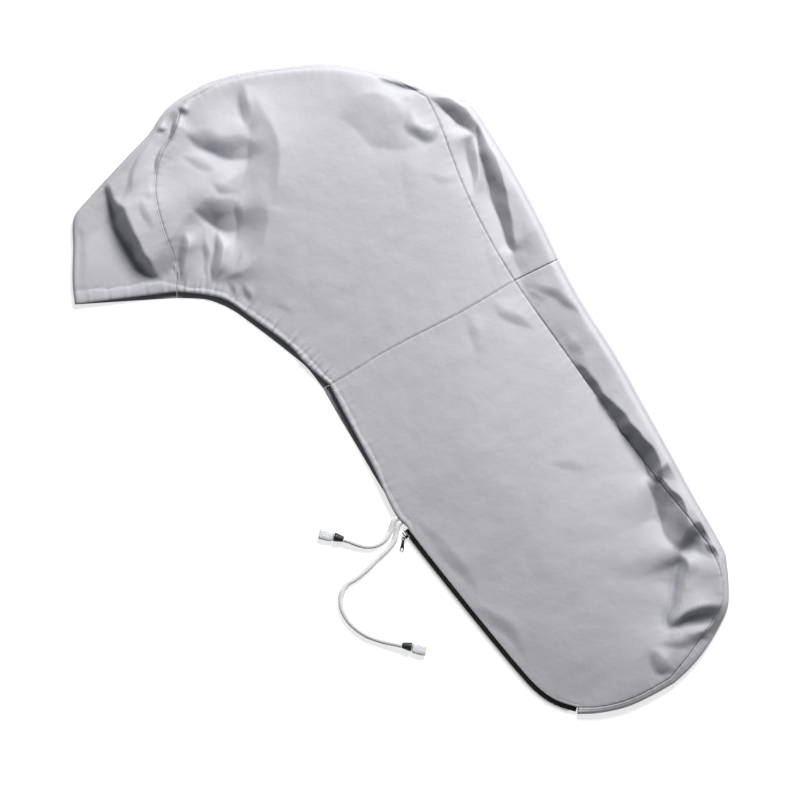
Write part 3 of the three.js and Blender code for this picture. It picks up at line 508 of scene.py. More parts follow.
class Relief:
    """Height of the cloth's outer face over the floor, from its slopes, folds and seams. In millimetres."""

    folded_edge = 12.0
    leg_lift = 5.0
    lift_reach = 60.0
    shoulder_reach = 5.0
    swell_reach = 80.0
    crest_blend = 8.0
    floor_blend = 4.0
    channel_bulge = 1.3
    channel_wide = 23.0
    channel_narrow = 10.0
    seam_depth = 0.9
    seam_reach = 1.7
    cross_seam_share = 0.55
    pucker_reach = 9.0
    hem_pucker_reach = 22.0
    hem_pucker = 1.6
    sway = 1.8
    unevenness = 0.2
    uneven_fade = 30.0
    edge_fade = 14.0
    mouth_fade = 30.0
    mouth_share = 0.4
    slack = 2.0
    wave_count = 60

    def __init__(self) -> None:
        """Lays out the lines that the heights are measured from."""
        self.outer_edge = self._chain([stretch["edge"] for stretch in STRETCHES.values()], 10)
        corner = STRETCHES["nose"]["edge"][0]
        hem = [(corner, UPPER_HEM["head"][0]), UPPER_HEM["head"], UPPER_HEM["leg"]]
        self.hem = self._chain(hem, 6)
        self.mouth = self._chain([*hem, UPPER_HEM["zip"]], 10)
        self.leg_mouth = smooth_line(UPPER_HEM["leg"], 10)
        self.zip_edge = smooth_line(UPPER_HEM["zip"], 8)
        self.long_seam = self._chain([stretch["seam"] for stretch in STRETCHES.values()], 6)
        self.cross_seam = np.vstack([smooth_line(CROSS_SEAM["upper"], 6), [[285, 234]]])
        seeded = np.random.default_rng(7)
        turns = seeded.uniform(0, 2 * np.pi, self.wave_count)
        lengths = seeded.uniform(34, 110, self.wave_count)
        self.waves = np.column_stack([np.cos(turns), np.sin(turns)]) * (2 * np.pi / lengths)[:, None]
        self.phases = seeded.uniform(0, 2 * np.pi, self.wave_count)

    @staticmethod
    def _chain(rows: Sequence[Rows], step: float) -> np.ndarray:
        """Several drawn lines one after another."""
        return chained([smooth_line(row, step) for row in rows])

    def broad(self, spots: np.ndarray) -> np.ndarray:
        """Height of the outer face above the top of the folded edge, without the seams' own relief.

        Args:
            spots: points in the plane.

        Returns:
            One height for each spot.
        """
        sums = np.zeros((4, len(spots)))
        weights = np.full(len(spots), 1e-9)
        for slope in SLOPES:
            away = (spots[:, 0] - slope.x) ** 2 + (spots[:, 1] - slope.y) ** 2
            weight = np.exp(-away / (2 * slope.reach ** 2))
            sums += weight * np.array([[slope.from_mouth], [slope.plateau], [slope.shoulder], [slope.swell]])
            weights += weight
        from_mouth, plateau, shoulder, swell = sums / weights
        to_mouth = nearest_on(self.mouth, spots)[0]
        to_edge = nearest_on(self.outer_edge, spots)[0]
        mouth_side = plateau * (1 - np.exp(-to_mouth * from_mouth / plateau))
        edge_side = shoulder * (1 - np.exp(-to_edge / self.shoulder_reach))
        edge_side += swell * (1 - np.exp(-to_edge / self.swell_reach))
        height = soft_least(mouth_side, edge_side, self.crest_blend)
        to_leg, along, _ = nearest_on(self.leg_mouth, spots)
        lift = self.leg_lift * np.sin(np.pi * along) * np.exp(-to_leg / self.lift_reach)
        swayed = self._swayed(spots)
        folds = sum(fold.lift(spots + self.sway * swayed) for fold in FOLDS)
        fade = np.minimum(1, to_edge / self.edge_fade)
        fade = fade * np.minimum(1, self.mouth_share + to_mouth / self.mouth_fade)
        uneven = self.unevenness * swayed.sum(axis=1) * np.minimum(1, to_edge / self.uneven_fade)
        total = height + lift + folds * fade + uneven - self.slack
        return self.floor_blend * np.logaddexp(0, total / self.floor_blend)

    def _swayed(self, spots: np.ndarray) -> np.ndarray:
        """Two uneven soft waves over the plane, of about one unit each, that no line or panel repeats."""
        waves = np.sin(spots @ self.waves.T + self.phases) * (2 / len(self.phases)) ** 0.5
        return np.column_stack([waves[:, ::2].sum(axis=1), waves[:, 1::2].sum(axis=1)])

    def fine(self, spots: np.ndarray) -> np.ndarray:
        """What seams, the hem's channel and their puckers add to the height.

        Args:
            spots: points in the plane.

        Returns:
            One height for each spot.
        """
        added = np.zeros(len(spots))
        for line, sewn in ((self.long_seam, 1.0), (self.cross_seam, self.cross_seam_share)):
            away, along, _ = nearest_on(line, spots)
            run = along * line_length(line)
            ripple = sum(wave.at(run) for wave in SEAM_RIPPLES)
            added -= self.seam_depth * sewn * np.exp(-((away / self.seam_reach) ** 2))
            added += sewn * ripple * np.exp(-away / self.pucker_reach)
        away, along, _ = nearest_on(self.hem, spots)
        run = along * line_length(self.hem)
        depth = self.channel_depth(run)
        inside = np.clip(away / depth, 0, 1)
        added += self.channel_bulge * np.sin(np.pi * inside) ** 0.8
        added -= groove(away, depth, 0.9, 1.8) + groove(away, 0.0, 1.1, 1.6)
        drawn = 0.35 + 0.65 * smooth_step((run - 150) / 60) * smooth_step((560 - run) / 80)
        ripple = drawn * sum(wave.at(run) for wave in HEM_RIPPLES)
        added += ripple * groove(away, 0.0, 1.0, self.hem_pucker_reach) * self.hem_pucker
        away = nearest_on(self.zip_edge, spots)[0]
        added -= groove(away, 5.0, 0.5, 1.4) + groove(away, 0.0, 0.6, 1.4)
        return added

    def channel_depth(self, run: np.ndarray) -> np.ndarray:
        """Width of the cord's channel at distances along the hem from the nose."""
        uneven = 1.4 * np.sin(run / 17) + 1.0 * np.sin(run / 6.3 + 1) * (run < 200)
        narrowed = (self.channel_wide - self.channel_narrow) * smooth_step((run - 150) / 60)
        return self.channel_wide - narrowed + uneven

    def height(self, spots: np.ndarray) -> np.ndarray:
        """Height of the outer face over the floor at each spot."""
        return self.folded_edge + self.broad(spots) + self.fine(spots)


def new_object(name: str, points: np.ndarray, faces: Sequence[Sequence[int]]) -> bpy.types.Object:
    """Smooth-shaded object from points in metres.

    Args:
        name: the piece's name.
        points: one row of x, y and z for each point.
        faces: point numbers of each face.

    Returns:
        The object, linked to the scene, with its place in its mesh.
    """
    mesh = bpy.data.meshes.new(name)
    mesh.from_pydata(np.asarray(points, dtype=float).tolist(), [], np.asarray(faces).tolist()
                     if isinstance(faces, np.ndarray) else [list(face) for face in faces])
    mesh.polygons.foreach_set("use_smooth", [True] * len(mesh.polygons))
    mesh.update()
    piece = bpy.data.objects.new(name, mesh)
    bpy.context.scene.collection.objects.link(piece)
    return piece


def grid_faces(rows: int, columns: int, start: int, turned: bool) -> np.ndarray:
    """Four-cornered faces of one layer of a grid."""
    low = (np.arange(rows - 1)[:, None] * columns + np.arange(columns - 1)).ravel() + start
    quads = np.column_stack([low, low + 1, low + columns + 1, low + columns])
    return quads[:, ::-1] if turned else quads


def rim_faces(rows: int, columns: int) -> np.ndarray:
    """Faces that join the rims of two layers of a grid, one layer's points after the other's."""
    top = np.concatenate([np.arange(columns), np.arange(1, rows) * columns + columns - 1,
                          (rows - 1) * columns + np.arange(columns - 2, -1, -1),
                          np.arange(rows - 2, 0, -1) * columns])
    after = np.roll(top, -1)
    return np.column_stack([after, top, top + rows * columns, after + rows * columns])


def closed_sheet(name: str, outer: np.ndarray, inner: np.ndarray, chart: np.ndarray,
                 worn: np.ndarray) -> bpy.types.Object:
    """Thin closed sheet between two grids of points.

    Args:
        name: the piece's name.
        outer: rows by columns of outer points, in millimetres.
        inner: the same for the inner face.
        chart: place of each point on the flat cloth, in metres.
        worn: from -1 in a crease, where the cloth gets painted shade, to 1 on a ridge, where it gets rubbed
            wear, for each point.

    Returns:
        The sheet, with its flat chart and, on the mesh, its mask of painted crease shade and ridge wear.
    """
    rows, columns = outer.shape[:2]
    points = np.vstack([outer.reshape(-1, 3), inner.reshape(-1, 3)]) * MM
    first, second, third = outer[0, 0], outer[0, 1], outer[1, 0]
    turned = np.cross(second - first, third - first) @ (first - inner[0, 0]) < 0
    layers = [grid_faces(rows, columns, 0, turned), grid_faces(rows, columns, rows * columns, not turned)]
    rim = rim_faces(rows, columns)
    piece = new_object(name, points, np.vstack([*layers, rim[:, ::-1] if turned else rim]))
    mesh = piece.data
    corners = np.zeros(len(mesh.loops), dtype=np.int32)
    mesh.loops.foreach_get("vertex_index", corners)
    places = np.vstack([chart.reshape(-1, 2)] * 2)
    mesh.uv_layers.new(name="flat").data.foreach_set("uv", places[corners].astype(np.float32).ravel())
    # The mask that paints shade into the creases and marks wear on the ridges.
    wear = mesh.attributes.new("wear", "FLOAT", "POINT")
    wear.data.foreach_set("value", np.concatenate([worn.ravel()] * 2).astype(np.float32))
    return piece


def spanned_grid(low: np.ndarray, high: np.ndarray, start: np.ndarray, end: np.ndarray,
                 across: np.ndarray) -> np.ndarray:
    """Grid of plane points between four border lines.

    Args:
        low: points along the first border, from its start to its end.
        high: as many points along the border across from it.
        start: points along the border that joins their starts, one for each share in across.
        end: the same between their ends.
        across: shares from 0 to 1, from the first border to the one across.

    Returns:
        Points by position along and then across.
    """
    along = np.linspace(0, 1, len(low))[:, None, None]
    share = across[None, :, None]
    ruled = low[:, None] * (1 - share) + high[:, None] * share
    sides = start[None] * (1 - along) + end[None] * along
    corners = ((1 - along) * (low[0] * (1 - share) + high[0] * share)
               + along * (low[-1] * (1 - share) + high[-1] * share))
    return ruled + sides - corners


def at_shares(line: np.ndarray, shares: np.ndarray) -> np.ndarray:
    """Points of a line at shares of its length."""
    reached = runs_along(line)
    return np.column_stack([np.interp(shares * reached[-1], reached, column) for column in line.T])


def joined(names: Sequence[str], which: str, step: float) -> np.ndarray:
    """Several stretches of the outer edge one after another.

    Args:
        names: the stretches.
        which: edge, seam or under.
        step: length of the fold's edge for each point, in millimetres.

    Returns:
        The points, as many for each stretch whichever line is asked for.
    """
    found = []
    for name in names:
        stretch = STRETCHES[name]
        length = line_length(smooth_line(stretch["edge"], 4))
        shares = np.linspace(0, 1, max(2, round(length / step)) + 1)
        found.append(at_shares(smooth_line(stretch[which], FINE_STEP), shares)[1 if found else 0:])
    return np.vstack(found)


def graded(steps: int, length: float) -> np.ndarray:
    """Shares from 0 to 1 that crowd together at both ends, where the cloth turns down into its seams."""
    close = np.array(SEAM_STEPS) / length
    middle = np.linspace(SEAM_ZONE / length, 1 - SEAM_ZONE / length, steps)
    return np.concatenate([close, middle, 1 - close[::-1]])


def uneven_shares(count: int, close: float) -> np.ndarray:
    """Shares of a line, crowded together near both of its ends."""
    ends = np.array([0, close / 5, close / 2.3])
    return np.concatenate([ends, np.linspace(close, 1 - close, count), 1 - ends[::-1]])


def eased(heights: np.ndarray) -> np.ndarray:
    """The same heights with the sharpest kinks between neighbours rounded off."""
    soft = heights.copy()
    soft[1:-1] = (soft[:-2] + 2 * soft[1:-1] + soft[2:]) / 4
    soft[:, 1:-1] = (soft[:, :-2] + 2 * soft[:, 1:-1] + soft[:, 2:]) / 4
    return soft


def crease_shade_and_wear_of(heights: np.ndarray) -> np.ndarray:
    """From -1 in a crease, where shade is painted, to 1 on a ridge, where wear is, from how a grid of
    heights bends.
    """
    broad = heights.copy()
    for _ in range(SHADE_AND_WEAR_ROUNDS):
        padded = np.pad(broad, 1, mode="edge")
        broad = (padded[:-2, 1:-1] + padded[2:, 1:-1] + padded[1:-1, :-2] + padded[1:-1, 2:]) / 4
    return np.clip((heights - broad) / SHADE_AND_WEAR_FULL, -1, 1)


@dataclass(frozen=True)
class Wire:
    """A socket that takes part in sums. Each sign adds the Math node that it stands for."""

    recipe: "Recipe"
    socket: bpy.types.NodeSocket

    def _through(self, operation: str, *values: "Wire | float") -> "Wire":
        """Adds a Math node and wires the values to it."""
        inputs = dict(enumerate(values))
        return self.recipe.wire(self.recipe.node("ShaderNodeMath", {"operation": operation}, inputs))

    def __add__(self, other: "Wire | float") -> "Wire":
        """The sum of the two."""
        return self._through("ADD", self, other)

    def __radd__(self, other: float) -> "Wire":
        """The sum of the two."""
        return self._through("ADD", other, self)

    def __sub__(self, other: "Wire | float") -> "Wire":
        """The other taken from this."""
        return self._through("SUBTRACT", self, other)

    def __rsub__(self, other: float) -> "Wire":
        """This taken from the other."""
        return self._through("SUBTRACT", other, self)

    def __mul__(self, other: "Wire | float") -> "Wire":
        """The product of the two."""
        return self._through("MULTIPLY", self, other)

    def sine(self) -> "Wire":
        """The sine of an angle in radians."""
        return self._through("SINE", self)

    def size(self) -> "Wire":
        """The value without its sign."""
        return self._through("ABSOLUTE", self)

    def between(self, low: float, high: float) -> "Wire":
        """From 0 at the low value to 1 at the high one, softly, and no further."""
        settings = {"interpolation_type": "SMOOTHSTEP"}
        inputs = {"Value": self, "From Min": low, "From Max": high}
        return self.recipe.wire(self.recipe.node("ShaderNodeMapRange", settings, inputs))


def add_node(tree: bpy.types.NodeTree, kind: str, settings: dict[str, Any] | None = None,
             inputs: dict[str | int, Any] | None = None) -> bpy.types.Node:
    """Adds one node to a tree.

    Args:
        tree: the tree of a material or of geometry nodes.
        kind: the node's type.
        settings: its own choices, set first.
        inputs: a value or a link for each socket, by name or place.

    Returns:
        The node.
    """
    made = tree.nodes.new(kind)
    for name, value in (settings or {}).items():
        setattr(made, name, value)
    for place, value in (inputs or {}).items():
        source = value.socket if isinstance(value, Wire) else value
        if isinstance(source, bpy.types.NodeSocket):
            tree.links.new(source, made.inputs[place])
        else:
            made.inputs[place].default_value = source
    return made


class Recipe:
    """The node tree of one material."""

    mix_factor, mix_first, mix_second, mix_result = 0, 6, 7, 2

    def __init__(self, name: str) -> None:
        """Starts an empty material of that name."""
        self.material = bpy.data.materials.new(name)
        self.material.use_nodes = True
        self.tree = self.material.node_tree
        self.tree.nodes.clear()

    def node(self, kind: str, settings: dict[str, Any] | None = None,
             inputs: dict[str | int, Any] | None = None) -> bpy.types.Node:
        """Adds one node to the material's tree."""
        return add_node(self.tree, kind, settings, inputs)

    def wire(self, node: bpy.types.Node, output: str | int = 0) -> Wire:
        """One output of a node, ready for sums."""
        return Wire(self, node.outputs[output])

    def place(self, flat: bool) -> Wire:
        """The point on the flat cloth, or else in the part's frame, in metres."""
        if flat:
            return self.wire(self.node("ShaderNodeUVMap", {"uv_map": "flat"}))
        return self.wire(self.node("ShaderNodeTexCoord"), "Object")

    def parts(self, vector: Wire) -> tuple[Wire, Wire, Wire]:
        """The three numbers of a vector."""
        split = self.node("ShaderNodeSeparateXYZ", inputs={0: vector})
        return self.wire(split, 0), self.wire(split, 1), self.wire(split, 2)

    def noise(self, place: Wire, per_metre: float, detail: float = 2.0,
              stretch: Triple = (1, 1, 1)) -> Wire:
        """Soft noise between 0 and 1.

        Args:
            place: where it is read.
            per_metre: how many blots fit in a metre.
            detail: how many finer layers it has.
            stretch: how much finer it is along each axis.

        Returns:
            The noise.
        """
        spread = self.node("ShaderNodeMapping", inputs={"Vector": place, "Scale": stretch})
        blots = {"Vector": spread.outputs[0], "Scale": per_metre, "Detail": detail}
        return self.wire(self.node("ShaderNodeTexNoise", inputs=blots), 0)

    def mixed(self, share: Wire, first: Colour | Wire, second: Colour | Wire) -> Wire:
        """A colour between two others."""
        ends = [value if isinstance(value, Wire) else (*value, 1.0) for value in (first, second)]
        sockets = {self.mix_factor: share, self.mix_first: ends[0], self.mix_second: ends[1]}
        return self.wire(self.node("ShaderNodeMix", {"data_type": "RGBA"}, sockets), self.mix_result)

    def surface(self, colour: Wire, roughness: Wire | float, height: Wire | None,
                **fixed: float) -> bpy.types.Material:
        """Ends the tree in a shader.

        Args:
            colour: the base colour.
            roughness: the same all over, or varying.
            height: relief in metres.
            fixed: the shader's other values, with _ for a space in the socket's name.

        Returns:
            The finished material.
        """
        inputs: dict[str | int, Any] = {"Base Color": colour, "Roughness": roughness}
        if height is not None:
            bump = self.node("ShaderNodeBump", inputs={"Height": height, "Distance": 1.0, "Strength": 1.0})
            inputs["Normal"] = bump.outputs[0]
        inputs.update({name.replace("_", " ").title(): value for name, value in fixed.items()})
        inputs = {name.replace("Ior", "IOR"): value for name, value in inputs.items()}
        shader = self.node("ShaderNodeBsdfPrincipled", inputs=inputs)
        self.node("ShaderNodeOutputMaterial", inputs={"Surface": shader.outputs[0]})
        return self.material


@dataclass(frozen=True)
class CoatedCloth:
    """Grey polyester canvas with a coated back, woven plain."""

    name: str = "coated_cloth"
    tone: Colour = (0.333, 0.331, 0.350)
    worn: Colour = (0.420, 0.417, 0.440)
    # Painted shade: the creases are darkened towards this colour, which is bluer than the cloth's tone.
    shaded: Colour = (0.200, 0.206, 0.238)
    thread_pitch: float = 0.0009
    thread_height: float = 0.00006
    wrinkle_height: float = 0.0012
    crease_shade: float = 0.5
    slub_height: float = 0.00003
    slub_stretch: Triple = (900, 38, 1)
    crinkle_share: float = 0.14
    clouds_per_metre: float = 9.0
    wrinkles_per_metre: float = 34.0
    crinkles_per_metre: float = 120.0
    rubs_per_metre: float = 260.0
    dullness: float = 0.58

    def material(self) -> bpy.types.Material:
        """Builds the weave, its slubs, cloudy colour, painted shade in the creases and rubbed ridges.

        Returns:
            The material. It reads the piece's flat chart and its mask of painted crease shade and wear.
        """
        recipe = Recipe(self.name)
        flat = recipe.place(flat=True)
        across, along, _ = recipe.parts(flat)
        turn = math.pi / self.thread_pitch
        weave = (across * turn).sine() * (along * turn).sine()
        fine, coarse, plain = self.slub_stretch
        slubs = recipe.noise(flat, 1.0, 1.0, (fine, coarse, plain))
        slubs = slubs + recipe.noise(flat, 1.0, 1.0, (coarse, fine, plain)) - 1.0
        cloud = recipe.noise(flat, self.clouds_per_metre, 3.0)
        wrinkles = recipe.noise(flat, self.wrinkles_per_metre, 3.0)
        crinkles = recipe.noise(flat, self.crinkles_per_metre, 2.0)
        wear = recipe.wire(recipe.node("ShaderNodeAttribute", {"attribute_name": "wear"}), "Fac")
        # Painted shade: the creases are darkened towards the shaded colour.
        painted_crease_shade = (0.0 - wear).between(0.12, 1.0) * self.crease_shade
        rubs = recipe.noise(flat, self.rubs_per_metre, 3.0).between(0.35, 0.7)
        rubbed = wear.between(0.35, 1.0) * rubs * 0.5
        colour = recipe.mixed(painted_crease_shade, self.tone, self.shaded)
        colour = recipe.mixed(rubbed, colour, self.worn)
        tinted = cloud.between(0.2, 0.8) * 0.16 + slubs * 0.22 + weave * 0.035
        colour = recipe.mixed(tinted, colour, self.worn)
        height = weave * self.thread_height + slubs * self.slub_height + wrinkles * self.wrinkle_height
        height = height + crinkles * (self.wrinkle_height * self.crinkle_share)
        roughness = self.dullness + cloud * 0.12 - rubbed * 0.1
        return recipe.surface(colour, roughness, height, sheen_weight=0.12, sheen_roughness=0.4, ior=1.45)


@dataclass(frozen=True)
class ZipTape:
    """Black woven tape with a herringbone."""

    name: str = "zip_tape"
    dark: Colour = (0.002, 0.002, 0.0025)
    pale: Colour = (0.009, 0.009, 0.011)
    rib_pitch: float = 0.0011
    rib_height: float = 0.00012
    bone_width: float = 0.0022
    bone_rise: float = 0.0006
    dullness: float = 0.85

    def material(self) -> bpy.types.Material:
        """Builds the ribs of the tape and its dust.

        Returns:
            The material. It reads the tape's flat chart.
        """
        recipe = Recipe(self.name)
        flat = recipe.place(flat=True)
        along, across, _ = recipe.parts(flat)
        bend = (across * (math.pi / self.bone_width)).sine().size() * self.bone_rise
        ribs = ((along + bend) * (2 * math.pi / self.rib_pitch)).sine()
        dust = recipe.noise(flat, 150.0, 4.0).between(0.45, 0.8)
        colour = recipe.mixed(ribs * 0.3 + dust * 0.5, self.dark, self.pale)
        return recipe.surface(colour, self.dullness + dust * 0.1, ribs * self.rib_height, sheen_weight=0.0)


@dataclass(frozen=True)
class MouldedPlastic:
    """Plastic or lacquer with a fine grain, dull scuffs and worn spots."""

    name: str
    tone: Colour
    scuffed: Colour
    gloss: float
    scuffs: float
    grain: float = 0.00002
    scuff_height: float = 0.00002
    scuffs_per_metre: float = 900.0
    grains_per_metre: float = 4200.0

    def material(self) -> bpy.types.Material:
        """Builds the grain and the scuffs.

        Returns:
            The material. It reads the place in the part's frame.
        """
        recipe = Recipe(self.name)
        place = recipe.place(flat=False)
        scuffs = recipe.noise(place, self.scuffs_per_metre, 4.0).between(0.52, 0.78) * self.scuffs
        grain = recipe.noise(place, self.grains_per_metre, 1.0)
        colour = recipe.mixed(scuffs, self.tone, self.scuffed)
        roughness = (1 - self.gloss) + scuffs * 0.35
        height = grain * self.grain + scuffs * self.scuff_height
        return recipe.surface(colour, roughness, height, coat_weight=0.15)


@dataclass(frozen=True)
class BraidedCord:
    """White soft cord, braided from two sets of yarns."""

    name: str = "braided_cord"
    tone: Colour = (0.70, 0.70, 0.70)
    soiled_and_shaded: Colour = (0.50, 0.50, 0.51)
    yarn_pitch: float = 0.0032
    yarns_round: int = 8
    yarn_height: float = 0.00035
    strand_height: float = 0.00008
    strand_stretch: Triple = (2600, 60, 1)
    soil_per_metre: float = 40.0
    dullness: float = 0.82

    def material(self) -> bpy.types.Material:
        """Builds the two sets of yarns, with painted shade in the hollows between them and soil over them.

        Returns:
            The material. It reads the length along the cord, in metres, and the share of its way round.
        """
        recipe = Recipe(self.name)
        flat = recipe.place(flat=True)
        along, round_it, _ = recipe.parts(flat)
        turn = along * (2 * math.pi / self.yarn_pitch)
        lean = round_it * (2 * math.pi * self.yarns_round)
        braid = (turn + lean).sine() * (turn - lean).sine()
        strands = recipe.noise(flat, 1.0, 3.0, self.strand_stretch)
        soil = recipe.noise(recipe.place(flat=False), self.soil_per_metre, 3.0).between(0.5, 0.85) * 0.25
        # Painted shade: where the braid sinks between its yarns, the cord is darkened towards the same
        # darker colour as the soil.
        hollow = (0.0 - braid).between(0.2, 1.0) * 0.35
        colour = recipe.mixed(soil + hollow + strands * 0.08, self.tone, self.soiled_and_shaded)
        height = braid * self.yarn_height + strands * self.strand_height
        return recipe.surface(colour, self.dullness, height, sheen_weight=0.25)


@dataclass(frozen=True)
class MilkyPlastic:
    """Soft see-through plastic of the cords' end pieces, milky and softly glossy."""

    name: str = "milky_plastic"
    tone: Colour = (0.62, 0.63, 0.64)
    veined: Colour = (0.36, 0.37, 0.39)
    veins_per_metre: float = 190.0
    dimples_per_metre: float = 260.0
    dimple_depth: float = 0.0008
    see_through: float = 0.25
    light_depth: float = 0.004

    def material(self) -> bpy.types.Material:
        """Builds the milky veins and the dimpled skin.

        Returns:
            The material. It reads the place in the part's frame.
        """
        recipe = Recipe(self.name)
        place = recipe.place(flat=False)
        veins = recipe.noise(place, self.veins_per_metre, 3.0).between(0.5, 0.8)
        dimples = recipe.noise(place, self.dimples_per_metre, 2.0)
        colour = recipe.mixed(veins * 0.5, self.tone, self.veined)
        return recipe.surface(colour, 0.3 + veins * 0.2, dimples * self.dimple_depth,
                              subsurface_weight=self.see_through, subsurface_scale=self.light_depth,
                              coat_weight=0.2)


@dataclass(frozen=True)
class PaleFloor:
    """White studio table, evenly lit."""

    name: str = "pale_floor"
    tone: Colour = (0.45, 0.45, 0.45)
    hazy: Colour = (0.42, 0.42, 0.43)
    glow: float = 0.72
    dullness: float = 0.9

    def material(self) -> bpy.types.Material:
        """Builds a matt white that glows a little, so that it stays pale in the cover's shade."""
        recipe = Recipe(self.name)
        haze = recipe.noise(recipe.place(flat=False), 2.0, 2.0) * 0.1
        colour = recipe.mixed(haze, self.tone, self.hazy)
        return recipe.surface(colour, self.dullness, None, emission_color=(1, 1, 1, 1),
                              emission_strength=self.glow)


def settled(piece: bpy.types.Object) -> bpy.types.Object:
    """Makes a piece's modifiers, or a flat curve's rounded edges, part of a plain mesh.

    Args:
        piece: an object with live modifiers, or a curve.

    Returns:
        A mesh object of the same name, without modifiers.
    """
    graph = bpy.context.evaluated_depsgraph_get()
    mesh = bpy.data.meshes.new_from_object(piece.evaluated_get(graph))
    name = piece.name
    data = piece.data
    bpy.data.objects.remove(piece)
    if data.users == 0:
        (bpy.data.curves if isinstance(data, bpy.types.Curve) else bpy.data.meshes).remove(data)
    mesh.name = name
    plain = bpy.data.objects.new(name, mesh)
    bpy.context.scene.collection.objects.link(plain)
    return plain


def dressed(piece: bpy.types.Object, material: bpy.types.Material) -> bpy.types.Object:
    """Gives a piece its only material and its body."""
    piece.data.materials.clear()
    piece.data.materials.append(material)
    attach(piece, "root")
    return piece


def flat_part(name: str, outlines: Sequence[np.ndarray], thickness: float,
              rounding: float) -> bpy.types.Object:
    """Plate of a drawn outline with holes and rounded edges, its underside at height 0.

    Args:
        name: the piece's name.
        outlines: closed lines in millimetres, the outside one first.
        thickness: of the plate, in millimetres.
        rounding: radius of its edges, in millimetres.

    Returns:
        A mesh object in metres.
    """
    curve = bpy.data.curves.new(name, "CURVE")
    curve.dimensions = "2D"
    curve.fill_mode = "BOTH"
    curve.extrude = (thickness / 2 - rounding) * MM
    curve.bevel_depth = rounding * MM
    curve.bevel_resolution = 2
    curve.offset = -rounding * MM
    for outline in outlines:
        spline = curve.splines.new("POLY")
        spline.points.add(len(outline) - 1)
        flat = np.column_stack([np.asarray(outline) * MM, np.zeros(len(outline)), np.ones(len(outline))])
        spline.points.foreach_set("co", flat.astype(np.float32).ravel())
        spline.use_cyclic_u = True
    holder = bpy.data.objects.new(name, curve)
    bpy.context.scene.collection.objects.link(holder)
    piece = settled(holder)
    move_points(piece, np.eye(3), np.array([0, 0, thickness / 2]))
    weld(piece)
    return piece


def move_points(piece: bpy.types.Object, axes: np.ndarray, origin: np.ndarray) -> None:
    """Places a mesh's points.

    Args:
        piece: the mesh object.
        axes: where the mesh's own three axes point, one in each column.
        origin: where its own origin goes, in millimetres.
    """
    points = np.zeros(len(piece.data.vertices) * 3)
    piece.data.vertices.foreach_get("co", points)
    placed = points.reshape(-1, 3) @ np.asarray(axes).T + np.asarray(origin) * MM
    piece.data.vertices.foreach_set("co", placed.ravel())
    piece.data.update()


def weld(piece: bpy.types.Object) -> None:
    """Merges doubled points and turns every face outwards."""
    shape = bmesh.new()
    shape.from_mesh(piece.data)
    bmesh.ops.remove_doubles(shape, verts=shape.verts, dist=WELD_DISTANCE)
    bmesh.ops.recalc_face_normals(shape, faces=shape.faces)
    shape.to_mesh(piece.data)
    shape.free()
    piece.data.polygons.foreach_set("use_smooth", [True] * len(piece.data.polygons))
    piece.data.update()


def joined_pieces(name: str, pieces: Sequence[bpy.types.Object]) -> bpy.types.Object:
    """One mesh object made of several, which are removed."""
    points: list[np.ndarray] = []
    faces: list[list[int]] = []
    count = 0
    for piece in pieces:
        here = np.zeros(len(piece.data.vertices) * 3)
        piece.data.vertices.foreach_get("co", here)
        points.append(here.reshape(-1, 3))
        faces += [[index + count for index in face.vertices] for face in piece.data.polygons]
        count += len(points[-1])
        bpy.data.objects.remove(piece)
    return new_object(name, np.vstack(points), faces)


def tube(name: str, rings: np.ndarray, runs: np.ndarray) -> bpy.types.Object:
    """Closed form through rings of points, capped at both ends.

    Args:
        name: the piece's name.
        rings: rings by points round each, in millimetres.
        runs: distance of each ring along the form, in millimetres.

    Returns:
        The object, with the distance in metres and the share of the way round as its flat chart.
    """
    count, sides = rings.shape[:2]
    points = np.vstack([rings.reshape(-1, 3), rings[0].mean(axis=0), rings[-1].mean(axis=0)]) * MM
    faces: list[list[int]] = []
    chart: list[tuple[float, float]] = []
    for ring in range(count - 1):
        for side in range(sides):
            after = (side + 1) % sides
            faces.append([ring * sides + side, ring * sides + after, (ring + 1) * sides + after,
                          (ring + 1) * sides + side])
            low, high = side / sides, (side + 1) / sides
            start, end = runs[ring] * MM, runs[ring + 1] * MM
            chart += [(start, low), (start, high), (end, high), (end, low)]
    for centre, ring in ((count * sides, 0), (count * sides + 1, count - 1)):
        for side in range(sides):
            pair = [ring * sides + side, ring * sides + (side + 1) % sides]
            faces.append([centre, *(pair[::-1] if ring == 0 else pair)])
            run = runs[ring] * MM
            chart += [(run, side / sides), (run, side / sides), (run, (side + 1) / sides)]
    piece = new_object(name, points, faces)
    piece.data.uv_layers.new(name="flat").data.foreach_set("uv", np.array(chart, dtype=np.float32).ravel())
    return outward(piece)


def outward(piece: bpy.types.Object) -> bpy.types.Object:
    """Turns a closed mesh's faces outwards without changing its points."""
    shape = bmesh.new()
    shape.from_mesh(piece.data)
    bmesh.ops.recalc_face_normals(shape, faces=shape.faces)
    shape.to_mesh(piece.data)
    shape.free()
    return piece


@dataclass(frozen=True)
class Cut:
    """What a piece of cloth was cut to before it was sewn: sides in metres and area in square metres."""

    width: float
    length: float
    area: float


class ClothPiece:
    """One cut piece of cloth of the cover."""

    def __init__(self, node: str, grids: tuple[np.ndarray, np.ndarray], chart: np.ndarray, worn: np.ndarray,
                 cut: Cut) -> None:
        """Makes the sheet.

        Args:
            node: the CAD node that it stands for.
            grids: its outer and inner points, in millimetres.
            chart: its points on the flat cloth, in metres.
            worn: its creases, for painted shade, and its ridges, for rubbed wear.
            cut: its flat size.
        """
        self.node = node
        self.cut = cut
        self.sheet = closed_sheet("cloth_" + node, *grids, chart, worn)

    def dress(self, cloth: bpy.types.Material) -> None:
        dressed(self.sheet, cloth)
        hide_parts(self.node)


